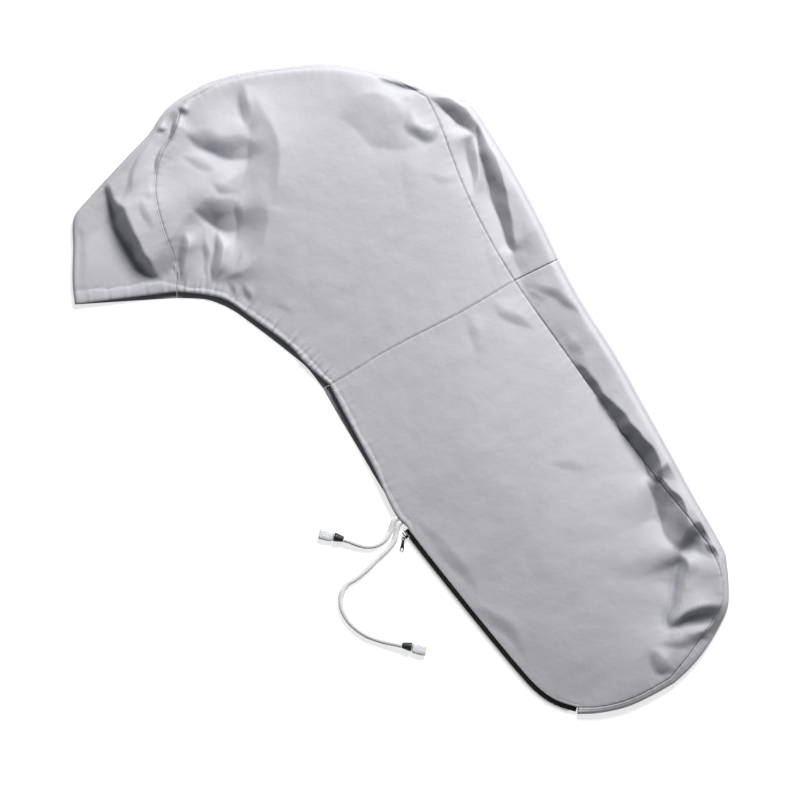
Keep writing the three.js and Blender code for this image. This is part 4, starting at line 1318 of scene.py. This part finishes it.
@dataclass
class CoverHalf:
    """Upper panel, lower panel and gusset of the head or of the leg."""

    name: str
    stretches: tuple[str, ...]
    upper_seams: tuple[str, ...]
    end_seams: tuple[str, ...]
    hems: tuple[str, ...]
    cuts: dict[str, Cut]
    relief: Relief
    shift: tuple[float, float] = (0.0, 0.0)
    thickness: float = 2.0
    fold_radius: float = 6.0
    seam_gap: float = 0.5
    end_spacing: float = 4.5
    floor_wave: float = 0.9
    floor_fade: float = 80.0
    lower_share: float = 0.9
    pieces: list[ClothPiece] = field(default_factory=list)

    def build(self) -> None:
        """Builds the three sheets."""
        self.pieces = [self._upper_panel(), self._lower_panel(), self._gusset()]

    def dress(self, cloth: bpy.types.Material) -> None:
        """Gives the three sheets their cloth."""
        for piece in self.pieces:
            piece.dress(cloth)

    def _hem(self, hems: dict[str, Rows], shares: np.ndarray) -> np.ndarray:
        """Points along the hem at shares of its length."""
        return at_shares(chained([smooth_line(hems[name], FINE_STEP) for name in self.hems]), shares)

    def _placed(self, plane: np.ndarray, height: np.ndarray) -> np.ndarray:
        """Points of a grid from their places in the plane and their heights."""
        return np.dstack([plane[..., 0] + self.shift[0], plane[..., 1] + self.shift[1], height])

    def _ends(self, which: str, cross: np.ndarray, across: np.ndarray) -> tuple[np.ndarray, np.ndarray]:
        """A panel's borders at the start and end of its hem.

        Args:
            which: seam for the upper panel or under for the lower one.
            cross: the cross seam's points.
            across: shares of the way from the hem to the far border.

        Returns:
            Both borders, from the hem on.
        """
        side = joined(self.end_seams, which, CELL)
        if self.name == "head":
            return at_shares(side, across), cross
        return cross, at_shares(side[::-1], across)

    def _upper_panel(self) -> ClothPiece:
        """Upper side panel, spanned between the hem, the gusset's seam and the cross seam."""
        seam = joined(self.upper_seams, "seam", CELL)
        shares = uneven_shares(len(seam), self.end_spacing / line_length(seam))
        seam = at_shares(seam, shares)
        hem = self._hem(UPPER_HEM, shares)
        span = np.linalg.norm(seam - hem, axis=1).max()
        across = graded(round(span / CELL), span)
        cross = at_shares(smooth_line(CROSS_SEAM["upper"], FINE_STEP), across)
        plane = spanned_grid(hem, seam, *self._ends("seam", cross, across), across)
        spots = plane.reshape(-1, 2)
        broad = eased(self.relief.broad(spots).reshape(plane.shape[:2]))
        outer = self.fold_radius * 2 + broad + self.relief.fine(spots).reshape(broad.shape)
        grids = self._placed(plane, outer), self._placed(plane, outer - self.thickness)
        node = f"{self.name}_panel_upper"
        # The mask for painted crease shade and ridge wear comes from the eased heights.
        return ClothPiece(node, grids, plane * MM, crease_shade_and_wear_of(broad), self.cuts["upper"])

    def _lower_panel(self) -> ClothPiece:
        """Lower side panel, which lies on the floor."""
        low = joined(self.upper_seams, "under", 2 * CELL)
        shares = np.linspace(0, 1, len(low))
        hem = self._hem(LOWER_HEM, shares)
        span = np.linalg.norm(low - hem, axis=1).max()
        across = np.linspace(0, 1, round(span / (2 * CELL)))
        cross = at_shares(smooth_line(CROSS_SEAM["lower"], FINE_STEP), across)
        plane = spanned_grid(hem, low, *self._ends("under", cross, across), across)
        spots = plane.reshape(-1, 2)
        waves = np.sin(spots @ self.relief.waves[:3].T + self.relief.phases[:3])
        lifted = 0.5 + 0.5 * waves.sum(axis=1) / 3
        from_rim = np.minimum(1, nearest_on(self.relief.outer_edge, spots)[0] / self.floor_fade)
        bottom = (self.floor_wave * lifted * from_rim).reshape(plane.shape[:2])
        top = bottom + self.thickness * self.lower_share
        grids = self._placed(plane, top), self._placed(plane, bottom)
        node = f"{self.name}_panel_lower"
        return ClothPiece(node, grids, plane * MM, np.zeros(bottom.shape), self.cuts["lower"])

    def _gusset(self) -> ClothPiece:
        """Strip that is folded in two along the outer edge."""
        edge, seam, under = (joined(self.stretches, which, CELL) for which in ("edge", "seam", "under"))
        inward, depth = headed(seam - edge)
        beneath, under_depth = headed(under - edge)
        across = graded(round(depth.max() / CELL), depth.max())[:-3]
        across = across / across[-1]
        radius = self.fold_radius
        reached = radius + (depth - self.seam_gap - radius)[:, None] * (1 - across)
        flat = edge[:, None] + inward[:, None] * reached[..., None]
        spots = flat.reshape(-1, 2)
        broad = eased(self.relief.broad(spots).reshape(reached.shape))
        fine = self.relief.fine(spots).reshape(reached.shape)
        upper = np.dstack([flat, 2 * radius + broad + fine])
        lowered = upper - [0, 0, self.thickness]
        raised = (broad + fine)[:, -1:]
        arc = np.linspace(np.pi / 2, -np.pi / 2, 13)[1:]
        ways = np.where((arc >= 0)[None, :, None], inward[:, None], beneath[:, None])
        lifts = raised * np.maximum(0, np.sin(arc))
        round_it = edge[:, None] + ways * (radius * (1 - np.cos(arc)))[None, :, None]
        outer_arc = np.dstack([round_it, radius * (1 + np.sin(arc)) + lifts])
        small = radius - self.thickness
        inner_flat = edge[:, None] + ways * (radius - small * np.cos(arc))[None, :, None]
        inner_arc = np.dstack([inner_flat, radius + small * np.sin(arc) + lifts])
        back = np.linspace(0, 1, 9)[1:]
        distance = radius + (under_depth - self.seam_gap - radius)[:, None] * back
        below = edge[:, None] + beneath[:, None] * distance[..., None]
        low_inner = np.dstack([below, np.full(distance.shape, self.thickness)])
        outer = np.hstack([upper, outer_arc, np.dstack([below, np.zeros(distance.shape)])])
        inner = np.hstack([lowered, inner_arc, low_inner])
        outer, inner = (grid + [*self.shift, 0] for grid in (outer, inner))
        run = runs_along(edge)
        path = np.linalg.norm(np.diff(outer, axis=1), axis=2)
        crossed = np.hstack([np.zeros((len(edge), 1)), np.cumsum(path, axis=1)])
        chart = np.dstack([np.repeat(run[:, None], outer.shape[1], axis=1), crossed]) * MM
        # Only the gusset's upper face gets painted crease shade and ridge wear.
        worn = np.zeros(outer.shape[:2])
        worn[:, :broad.shape[1]] = crease_shade_and_wear_of(broad)
        node = f"{self.name}_gusset"
        return ClothPiece(node, (outer, inner), chart, worn, self.cuts["gusset"])


class Repeated(Enum):
    """What a row repeats."""

    STITCH = "stitch"
    TOOTH = "tooth"


@dataclass(frozen=True)
class Row:
    """Small shapes repeated along lines by one tree of geometry nodes. Sizes in metres."""

    shape: Repeated
    pitch: float
    length: float
    width: float
    height: float
    unevenness: float
    seed: int

    def lay(self, name: str, lines: Sequence[np.ndarray], ups: Sequence[np.ndarray],
            material: bpy.types.Material) -> bpy.types.Object:
        """Repeats the shape along every line.

        Args:
            name: the piece's name.
            lines: points of each line, in millimetres.
            ups: the way that each point's shape stands.
            material: the shapes' finish.

        Returns:
            One plain mesh of all the shapes.
        """
        points = np.vstack(lines) * MM
        edges = []
        start = 0
        for line in lines:
            edges += [(index, index + 1) for index in range(start, start + len(line) - 1)]
            start += len(line)
        mesh = bpy.data.meshes.new(name)
        mesh.from_pydata(points.tolist(), edges, [])
        mesh.attributes.new("stands", "FLOAT_VECTOR", "POINT").data.foreach_set(
            "vector", np.vstack(ups).astype(np.float32).ravel())
        holder = bpy.data.objects.new(name, mesh)
        tree = self._tree(material)
        modifier = holder.modifiers.new("row", "NODES")
        modifier.node_group = tree
        sizes = {"Pitch": self.pitch, "Length": self.length, "Width": self.width, "Height": self.height,
                 "Unevenness": self.unevenness, "Seed": self.seed}
        for item in tree.interface.items_tree:
            if item.in_out == "INPUT" and item.name in sizes:
                modifier[item.identifier] = sizes[item.name]
        bpy.context.scene.collection.objects.link(holder)
        piece = settled(holder)
        bpy.data.node_groups.remove(tree)
        return piece

    def _tree(self, material: bpy.types.Material) -> bpy.types.NodeTree:
        """Builds the tree of geometry nodes."""
        tree = bpy.data.node_groups.new("row_of_" + self.shape.value, "GeometryNodeTree")
        tree.interface.new_socket("Geometry", in_out="INPUT", socket_type="NodeSocketGeometry")
        tree.interface.new_socket("Geometry", in_out="OUTPUT", socket_type="NodeSocketGeometry")
        for name in ("Pitch", "Length", "Width", "Height", "Unevenness"):
            tree.interface.new_socket(name, in_out="INPUT", socket_type="NodeSocketFloat")
        tree.interface.new_socket("Seed", in_out="INPUT", socket_type="NodeSocketInt")
        add = partial(add_node, tree)
        given = add("NodeGroupInput").outputs
        curve = add("GeometryNodeMeshToCurve", inputs={"Mesh": given["Geometry"]}).outputs[0]
        spaced = add("GeometryNodeResampleCurve", {"mode": "LENGTH"},
                     {"Curve": curve, "Length": given["Pitch"]}).outputs[0]
        if self.shape is Repeated.STITCH:
            ball = add("GeometryNodeMeshIcoSphere", inputs={"Radius": 0.5, "Subdivisions": 2}).outputs[0]
        else:
            block = add("GeometryNodeMeshCube").outputs[0]
            ball = add("GeometryNodeSubdivisionSurface", inputs={"Mesh": block, "Level": 1}).outputs[0]
        sizes = add("ShaderNodeCombineXYZ", inputs={
            0: given["Length"], 1: given["Width"], 2: given["Height"]}).outputs[0]
        shape = add("GeometryNodeTransform", inputs={"Geometry": ball, "Scale": sizes}).outputs[0]
        low = add("ShaderNodeMath", {"operation": "SUBTRACT"}, {0: 1.0, 1: given["Unevenness"]}).outputs[0]
        jitter = add("FunctionNodeRandomValue", {"data_type": "FLOAT"},
                     {2: low, 3: 1.0, "Seed": given["Seed"]})
        tangent = add("GeometryNodeInputTangent").outputs[0]
        stands = add("GeometryNodeInputNamedAttribute", {"data_type": "FLOAT_VECTOR"}, {"Name": "stands"})
        ahead = add("FunctionNodeAlignRotationToVector", {"axis": "X"}, {"Vector": tangent}).outputs[0]
        turned = add("FunctionNodeAlignRotationToVector", {"axis": "Z", "pivot_axis": "X"},
                     {"Rotation": ahead, "Vector": stands.outputs[0]}).outputs[0]
        placed = add("GeometryNodeInstanceOnPoints", inputs={
            "Points": spaced, "Instance": shape, "Rotation": turned, "Scale": jitter.outputs[1]}).outputs[0]
        real = add("GeometryNodeRealizeInstances", inputs={"Geometry": placed}).outputs[0]
        smooth = add("GeometryNodeSetShadeSmooth", inputs={"Geometry": real}).outputs[0]
        coloured = add("GeometryNodeSetMaterial",
                       inputs={"Geometry": smooth, "Material": material}).outputs[0]
        add("NodeGroupOutput", inputs={"Geometry": coloured})
        return tree


@dataclass
class Stitching:
    """Rows of stitches beside the seams and along the hem."""

    relief: Relief
    beside: float = 3.2
    hem_row: float = 0.6
    above: float = 0.25
    beside_zip: float = 4.8
    stitch: Row = Row(Repeated.STITCH, 0.0042, 0.0036, 0.0009, 0.0007, 0.15, 3)
    lines: list[np.ndarray] = field(default_factory=list)

    def build(self) -> None:
        """Draws every row on the cloth."""
        relief = self.relief
        self.lines = [self._on_cloth(offset_line(relief.long_seam, self.beside)),
                      self._on_cloth(offset_line(relief.cross_seam, self.beside)[1:-2]),
                      self._on_cloth(offset_line(relief.zip_edge, self.beside_zip)[1:-1])]
        depth = relief.channel_depth(runs_along(relief.hem)) + self.hem_row
        self.lines.append(self._on_cloth(offset_line(relief.hem, depth)[1:-1]))

    def _on_cloth(self, plane: np.ndarray) -> np.ndarray:
        """A line of the plane, lifted on to the cloth."""
        return np.column_stack([plane, self.relief.height(plane) + self.above])

    def dress(self, thread: bpy.types.Material) -> None:
        """Sews the rows in thread."""
        ups = [np.tile([0.0, 0.0, 1.0], (len(line), 1)) for line in self.lines]
        rows = self.stitch.lay("seam_stitches", self.lines, ups, thread)
        dressed(rows, thread)


@dataclass
class Zip:
    """Zip of the leg: two tapes, teeth, slider and pull. It lies on edge at the front of the cover."""

    teeth_at: float = 8.0
    teeth_width: float = 4.4
    middle: float = 6.0
    seam_gap: float = 0.5
    start: float = 16.0
    stop: float = 16.0
    tape_start: float = 1.5
    tape_stop: float = 2.5
    tape: float = 1.0
    tape_step: float = 0.8
    cloth_top: float = 12.0
    stations: int = 150
    slider_plate: float = 1.9
    slider_length: float = 15.0
    slider_height: float = 8.8
    slider_rear: float = 5.0
    slider_depth: float = 6.5
    bail_reach: float = 4.9
    bail_height: float = 7.4
    bail_width: float = 1.8
    bail_bar: float = 1.2
    pull_length: float = 28.0
    pull_eye: float = 3.5
    pull_hole: float = 1.9
    pull_neck: float = 4.0
    pull_width: float = 7.6
    pull_thickness: float = 1.8
    pull_height: float = 4.3
    pull_droop: float = 5.0
    pull_turn: float = -98.0
    tooth: Row = Row(Repeated.TOOTH, 0.0022, 0.0015, 0.0034, 0.0030, 0.0, 5)
    pieces: dict[str, bpy.types.Object] = field(default_factory=dict)
    teeth: list[np.ndarray] = field(default_factory=list)

    def build(self) -> None:
        """Builds the tapes, the slider and the pull, and draws the rows of teeth."""
        self.spots, self.outward, _ = self._laid(self.start, self.stop)
        edge = self.cloth_top - self.seam_gap
        upper = ((self.seam_gap, edge), (3.0, edge - 0.9), (5.2, self.middle + 2.9),
                 (self.teeth_at - self.seam_gap, self.middle + 2))
        lower = ((self.teeth_at - 1, 1.6), (self.teeth_at, 2.1), (self.teeth_at + 1, 2.9),
                 (self.teeth_at + 1.7, 3.6))
        self.pieces["zip_tape_upper"] = self._tape("tape_upper", upper, self.tape_start)
        self.pieces["zip_tape_lower"] = self._tape("tape_lower", lower, self.start)
        half = self.teeth_width / 2 - 0.7
        centre = self.teeth_at + self.teeth_width / 2
        for side, late in ((-1, 0), (1, 1)):
            out = self.spots + self.outward * (centre + side * half * 0.75)
            z = self.middle - 0.5 - side * 0.35
            row = np.column_stack([out, np.full(len(out), z)])
            self.teeth.append(smooth_line(row.tolist(), 3)[late:])
        self._slider()
        self._pull()

    def _laid(self, start: float, stop: float) -> tuple[np.ndarray, np.ndarray, np.ndarray]:
        """Points along the edge that the zip is sewn to.

        Args:
            start: how far from the slider's end of the edge they begin.
            stop: how far from the toe they end.

        Returns:
            The points, the way out from the panel at each, and their distances along the edge.
        """
        line = smooth_line(UPPER_HEM["zip"], FINE_STEP)
        length = line_length(line)
        shares = np.linspace(start / length, 1 - stop / length, self.stations)
        spots = at_shares(line, shares)
        heading, _ = headed(np.gradient(spots, axis=0))
        return spots, np.column_stack([heading[:, 1], -heading[:, 0]]), shares * length

    def _tape(self, name: str, profile: Rows, start: float) -> bpy.types.Object:
        """Woven tape with a profile of distances out from the panel's edge and heights.

        Args:
            name: name of the piece.
            profile: rows of distance and height.
            start: how far from the slider's end of the edge the tape begins.

        Returns:
            The tape.
        """
        rows = smooth_line(profile, self.tape_step)
        spots, outward, run = self._laid(start, self.tape_stop)
        plane = spots[:, None] + outward[:, None] * rows[None, :, :1]
        wave = 0.15 * np.sin(run / 7.5)[:, None] * np.sin(np.linspace(0, np.pi, len(rows)))[None, :]
        outer = np.dstack([plane, rows[None, :, 1] + wave])
        chart = np.dstack(np.broadcast_arrays(run[:, None], np.arange(len(rows)) * self.tape_step)) * MM
        return closed_sheet(name, outer, outer - [0, 0, self.tape], chart, np.zeros(outer.shape[:2]))

    def _axes(self) -> tuple[np.ndarray, np.ndarray]:
        """Where the slider's axes point and where its corner of the teeth is, in millimetres."""
        out = np.array([*self.outward[0], 0.0])
        up = np.array([0.0, 0.0, 1.0])
        along = np.cross(up, out)
        origin = np.array([*self.spots[0], self.middle - 0.4])
        origin = origin - along * (self.slider_length / 2 + self.seam_gap) + out * self.teeth_at
        return np.column_stack([along, up, out]), origin

    def _shield(self) -> np.ndarray:
        """Outline of the slider's plates, narrow where the closed teeth leave it."""
        half_length, half = self.slider_length / 2, self.slider_height / 2
        rear = self.slider_rear / 2
        corners = ((-half_length + 0.4, 0), (-half_length + 1, rear), (self.slider_length * 0.15, half),
                   (self.slider_length * 0.34, half * 0.93), (half_length, rear), (half_length, -rear),
                   (self.slider_length * 0.34, -half * 0.93), (self.slider_length * 0.15, -half),
                   (-half_length + 1, -rear))
        return np.array(corners)

    def _slider(self) -> None:
        """Two plates held apart by a wedge, and the bail for the pull."""
        parts = []
        for name, low in (("plate_inner", 0.0), ("plate_outer", self.slider_depth - self.slider_plate)):
            part = flat_part(name, [self._shield()], self.slider_plate, 0.45)
            move_points(part, np.eye(3), np.array([0, 0, low]))
            parts.append(part)
        corners = np.array(((1.5, 0), (6.6, 1.9), (6.6, -1.9)))
        wedge = flat_part("wedge", [corners], self.slider_depth - 1, 0.3)
        move_points(wedge, np.eye(3), np.array([0, 0, 0.5]))
        parts.append(wedge)
        half = self.bail_height / 2
        reach = self.bail_reach
        hoop = np.array(((-1, -half), (reach - 1, -half), (reach, -half + 1), (reach, half - 1),
                         (reach - 1, half), (-1, half)))
        inside, across = reach - self.bail_bar, half - self.bail_bar
        hole = np.array(((-0.4, -across), (inside - 0.3, -across), (inside, -across + 0.3),
                         (inside, across - 0.3), (inside - 0.3, across), (-0.4, across)))
        bail = flat_part("bail", [hoop, hole], self.bail_width, 0.4)
        standing = np.array([[0, 0, -1], [0, 1, 0], [1, 0, 0]], dtype=float)
        move_points(bail, standing, np.array([self.slider_length * 0.3, 0, self.slider_depth]))
        parts.append(bail)
        slider = joined_pieces("slider", parts)
        move_points(slider, *self._axes())
        self.pieces["zip_slider"] = slider

    def _pull(self) -> None:
        """Tab with a round eye over the bail and a longer ring at its tip."""
        eye, width, length = self.pull_eye, self.pull_width, self.pull_length
        round_eye = [(eye * math.cos(angle), eye * math.sin(angle))
                     for angle in np.linspace(math.pi / 4, 1.75 * math.pi, 15)]
        tip = [(length - width + width / 2 * math.cos(angle), width / 2 * math.sin(angle))
               for angle in np.linspace(-math.pi / 2, math.pi / 2, 13)]
        neck = self.pull_neck / 2
        outline = np.array([*round_eye, (eye + 1, -neck), (length - width - 5, -width / 2 + 0.4), *tip,
                            (length - width - 5, width / 2 - 0.4), (eye + 1, neck)])
        turns = np.linspace(0, 2 * math.pi, 17)[:-1]
        hole = self.pull_hole * np.column_stack([np.cos(turns), np.sin(turns)])
        ring = np.column_stack([length - width - 0.6 + 3.4 * np.cos(turns), 2.5 * np.sin(turns)])
        pull = flat_part("pull", [outline, hole[::-1], ring[::-1]], self.pull_thickness, 0.4)
        axes, origin = self._axes()
        bar = self.slider_depth + self.bail_reach - self.bail_bar / 2
        place = origin + axes[:, 2] * bar + axes[:, 0] * (self.slider_length * 0.3 - self.bail_width / 2)
        place[2] = self.pull_height
        turn, droop = math.radians(self.pull_turn), math.radians(self.pull_droop)
        about = np.array([[math.cos(turn), -math.sin(turn), 0],
                          [math.sin(turn), math.cos(turn), 0],
                          [0, 0, 1]])
        tilt = np.array([[math.cos(droop), 0, math.sin(droop)],
                         [0, 1, 0],
                         [-math.sin(droop), 0, math.cos(droop)]])
        move_points(pull, about @ tilt, place)
        self.pieces["zip_pull"] = pull

    def dress(self, tape: bpy.types.Material, teeth: bpy.types.Material, metal: bpy.types.Material) -> None:
        """Gives the tapes, the teeth and the slider their finishes.

        Args:
            tape: for the two tapes.
            teeth: for the teeth.
            metal: for the slider and its pull.
        """
        ups = [np.column_stack([np.zeros((len(row), 2)), np.ones(len(row))]) for row in self.teeth]
        self.pieces["zip_chain"] = self.tooth.lay("teeth", self.teeth, ups, teeth)
        finishes = {"zip_tape_upper": tape, "zip_tape_lower": tape, "zip_chain": teeth}
        for node, piece in self.pieces.items():
            dressed(piece, finishes.get(node, metal))
            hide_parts(node)


@dataclass
class Drawcord:
    """One end of the drawcord, with its stopper and end piece, on the floor beside the mouth."""

    name: str
    diameter: float = 10.0
    stopper_length: float = 18.0
    stopper_gap: float = 0.5
    end_gap: float = 0.4
    end_width: float = 23.0
    end_height: float = 12.0
    end_squareness: float = 0.72
    ring_step: float = 2.2
    sides: int = 24

    def build(self) -> None:
        """Builds the cord, its stopper and its end piece."""
        route = np.array(CORD_ROUTES[self.name])
        self.route = route
        self.path = smooth_line(CORD_ROUTES[self.name], self.ring_step)
        tangents, _ = headed(np.gradient(self.path, axis=0))
        side, _ = headed(np.cross([0, 0, 1.0], tangents))
        up = np.cross(tangents, side)
        turns = np.linspace(0, 2 * np.pi, self.sides, endpoint=False)
        radius = self.diameter / 2
        around = side[:, None] * np.cos(turns)[None, :, None] + up[:, None] * np.sin(turns)[None, :, None]
        runs = runs_along(self.path)
        uneven = 1 + 0.018 * np.sin(runs / 5.3 + 1.0) + 0.014 * np.sin(runs / 13.1)
        rings = self.path[:, None] + around * (radius * uneven)[:, None, None]
        self.length = float(runs[-1])
        self.cord = tube("cord_" + self.name, rings, runs)
        heading = route[-1] - route[-2]
        heading = heading / np.linalg.norm(heading[:2])
        self.heading = np.array([heading[0], heading[1], 0.0])
        self.across = np.array([-heading[1], heading[0], 0.0])
        self.tip = route[-1] + self.heading * self.stopper_gap
        self.stopper = self._stopper()
        self.end = self._end()

    def _along(self, run: np.ndarray, wide: np.ndarray, high: np.ndarray, lift: np.ndarray,
               power: float) -> np.ndarray:
        """Rounded rings across the heading.

        Args:
            run: distance of each ring along the heading.
            wide: half width of each.
            high: half height of each.
            lift: height of each ring's middle over the floor.
            power: 1 for an ellipse and less for squarer corners.

        Returns:
            Rings by points.
        """
        turns = np.linspace(0, 2 * np.pi, self.sides, endpoint=False)
        cosine = np.sign(np.cos(turns)) * np.abs(np.cos(turns)) ** power
        sine = np.sign(np.sin(turns)) * np.abs(np.sin(turns)) ** power
        base = np.array([self.tip[0], self.tip[1], 0.0])
        rings = base + self.heading * run[:, None, None]
        rings = rings + self.across * (wide[:, None] * cosine)[..., None]
        return rings + np.array([0, 0, 1.0]) * (lift[:, None] + high[:, None] * sine)[..., None]

    def _stopper(self) -> bpy.types.Object:
        """Bell, narrow where the cord goes in, with a rolled lip at its wide end."""
        profile = ((0, 3.4), (0.2, 4.5), (0.9, 5.2), (3.5, 5.75), (7.5, 6.5), (11.5, 7.3), (14.2, 7.8),
                   (14.9, 7.6), (15.4, 7.9), (16.6, 8.3), (17.5, 7.9), (18.0, 6.6))
        rows = smooth_line(profile, 0.5)
        lift = np.full(len(rows), self.tip[2])
        rings = self._along(rows[:, 0], rows[:, 1], rows[:, 1], lift, 1.0)
        return tube("bell_" + self.name, rings, rows[:, 0])

    def _end(self) -> bpy.types.Object:
        """Soft squarish end piece with an uneven outline and a dent near the bell."""
        profile = ((0, 0.42, 0.45), (0.4, 0.58, 0.62), (1.6, 0.74, 0.82), (4, 0.88, 0.93),
                   (7, 0.93, 0.86), (11, 0.97, 0.95), (16, 0.98, 1.0), (21, 1.0, 0.98),
                   (24.5, 0.97, 0.95), (26, 0.9, 0.86), (26.8, 0.78, 0.72), (27, 0.6, 0.5))
        rows = smooth_line(profile, 0.25)
        runs = rows[:, 0]
        keep = np.concatenate([[True], np.diff(runs) > 0.0])
        rows, runs = rows[keep][::4], runs[keep][::4]
        wobble = 1 + 0.03 * np.sin(runs * 0.9 + len(self.name)) * (runs > 2) * (runs < 24)
        wide = self.end_width / 2 * np.clip(rows[:, 1] * wobble, 0, 1.0)
        high = self.end_height / 2 * rows[:, 2]
        lift = 0.3 + self.end_height / 2 - (self.end_height / 2 - high) * 0.5
        start = self.stopper_length + self.end_gap
        rings = self._along(runs + start, wide, high, lift, self.end_squareness)
        return tube("end_piece_" + self.name, rings, runs)

    def dress(self, braid: bpy.types.Material, bell: bpy.types.Material, milky: bpy.types.Material) -> None:
        """Args:
            braid: for the cord.
            bell: for the stopper.
            milky: for the end piece.
        """
        dressed(self.cord, braid)
        dressed(self.stopper, bell)
        dressed(self.end, milky)
        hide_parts("drawcord_" + self.name)
        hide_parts("stopper_" + self.name)
        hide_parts("end_" + self.name)


@dataclass
class Studio:
    """White table, soft light from above the cover, and the camera straight over it."""

    camera_place: Triple = (-0.0009, -0.0198, 10.0)
    lens: float = 250.0
    key_azimuth: float = 70.0
    key_elevation: float = 42.0
    key_distance: float = 4.2
    key_size: float = 1.4
    key_power: float = 380.0
    fill_place: Triple = (-2.2, -1.2, 2.4)
    fill_size: float = 2.0
    fill_power: float = 2.0
    sky: tuple[float, float, float, float] = (0.88, 0.94, 1, 1)
    sky_strength: float = 0.12
    floor_reach: float = 6.0

    def place_camera(self) -> None:
        """Puts the camera where the photograph was taken from."""
        camera = bpy.data.objects.new("camera", bpy.data.cameras.new("camera"))
        camera.data.lens = self.lens
        camera.data.sensor_width = 36.0
        camera.location = self.camera_place
        bpy.context.scene.collection.objects.link(camera)
        bpy.context.scene.camera = camera

    def build(self) -> None:
        """Lays the floor and hangs the lights."""
        reach = self.floor_reach
        points = np.array([(-reach, -reach, 0), (reach, -reach, 0), (reach, reach, 0), (-reach, reach, 0)])
        floor = new_object("floor", points, [(0, 1, 2, 3)])
        floor.data.materials.append(PaleFloor().material())
        azimuth, elevation = math.radians(self.key_azimuth), math.radians(self.key_elevation)
        away = np.array([math.cos(elevation) * math.cos(azimuth), math.cos(elevation) * math.sin(azimuth),
                         math.sin(elevation)]) * self.key_distance
        self._light("key", away, self.key_power, self.key_size)
        self._light("fill", np.array(self.fill_place), self.fill_power, self.fill_size)
        world = bpy.data.worlds.new("studio")
        world.use_nodes = True
        background = world.node_tree.nodes["Background"]
        background.inputs["Color"].default_value = self.sky
        background.inputs["Strength"].default_value = self.sky_strength
        bpy.context.scene.world = world
        bpy.context.scene.view_settings.view_transform = "Standard"

    @staticmethod
    def _light(name: str, place: np.ndarray, power: float, size: float) -> None:
        """Hangs a square light that looks at the middle of the cover."""
        light = bpy.data.lights.new(name, "AREA")
        light.energy = power
        light.size = size
        hanging = bpy.data.objects.new(name, light)
        hanging.location = place.tolist()
        hanging.rotation_euler = (-Vector(place.tolist())).to_track_quat("-Z", "Y").to_euler()
        bpy.context.scene.collection.objects.link(hanging)


def main() -> None:
    """Builds and dresses the cover, piece by piece."""
    studio = Studio()
    studio.place_camera()
    braid = BraidedCord().material()
    bell = MouldedPlastic("bell_plastic", BLACK, RUBBED_BLACK, 0.42, 0.5).material()
    milky = MilkyPlastic().material()
    for name in CORD_ROUTES:
        drawcord = Drawcord(name)
        drawcord.build()
        drawcord.dress(braid, bell, milky)
        LOG.info("drawcord %s: %.3f m long", name, drawcord.length * MM)
    relief = Relief()
    cloth = CoatedCloth().material()
    halves = [
        CoverHalf("head", ("nose", "crown", "back"), ("crown", "back"), ("nose",), ("head",),
                  {"upper": Cut(0.62, 0.56, 0.252), "lower": Cut(0.62, 0.46, 0.184),
                   "gusset": Cut(0.44, 1.30, 0.278)}, relief),
        CoverHalf("leg", ("leg", "foot", "toe"), ("leg",), ("foot", "toe"), ("leg", "zip"),
                  {"upper": Cut(0.70, 0.78, 0.303), "lower": Cut(0.64, 0.78, 0.255),
                   "gusset": Cut(0.25, 1.15, 0.151)}, relief, shift=(0.25, -0.435)),
    ]
    for half in halves:
        half.build()
        half.dress(cloth)
        for piece in half.pieces:
            LOG.info("cloth %s: %d points", piece.node, len(piece.sheet.data.vertices))
    stitching = Stitching(relief)
    stitching.build()
    thread = MouldedPlastic("seam_thread", (0.20, 0.20, 0.22), (0.34, 0.34, 0.36), 0.35, 0.8)
    stitching.dress(thread.material())
    LOG.info("stitches in %d rows", len(stitching.lines))
    zip_closure = Zip()
    zip_closure.build()
    zip_closure.dress(
        ZipTape().material(),
        MouldedPlastic("zip_teeth", BLACK, RUBBED_BLACK, 0.4, 0.4).material(),
        MouldedPlastic("black_lacquer", BLACK, (0.05, 0.05, 0.055), 0.5, 0.5).material())
    LOG.info("zip in %d pieces", len(zip_closure.pieces))
    studio.build()


if __name__ == "__main__":
    logging.basicConfig(level=logging.INFO, format="%(name)s: %(message)s")
    main()
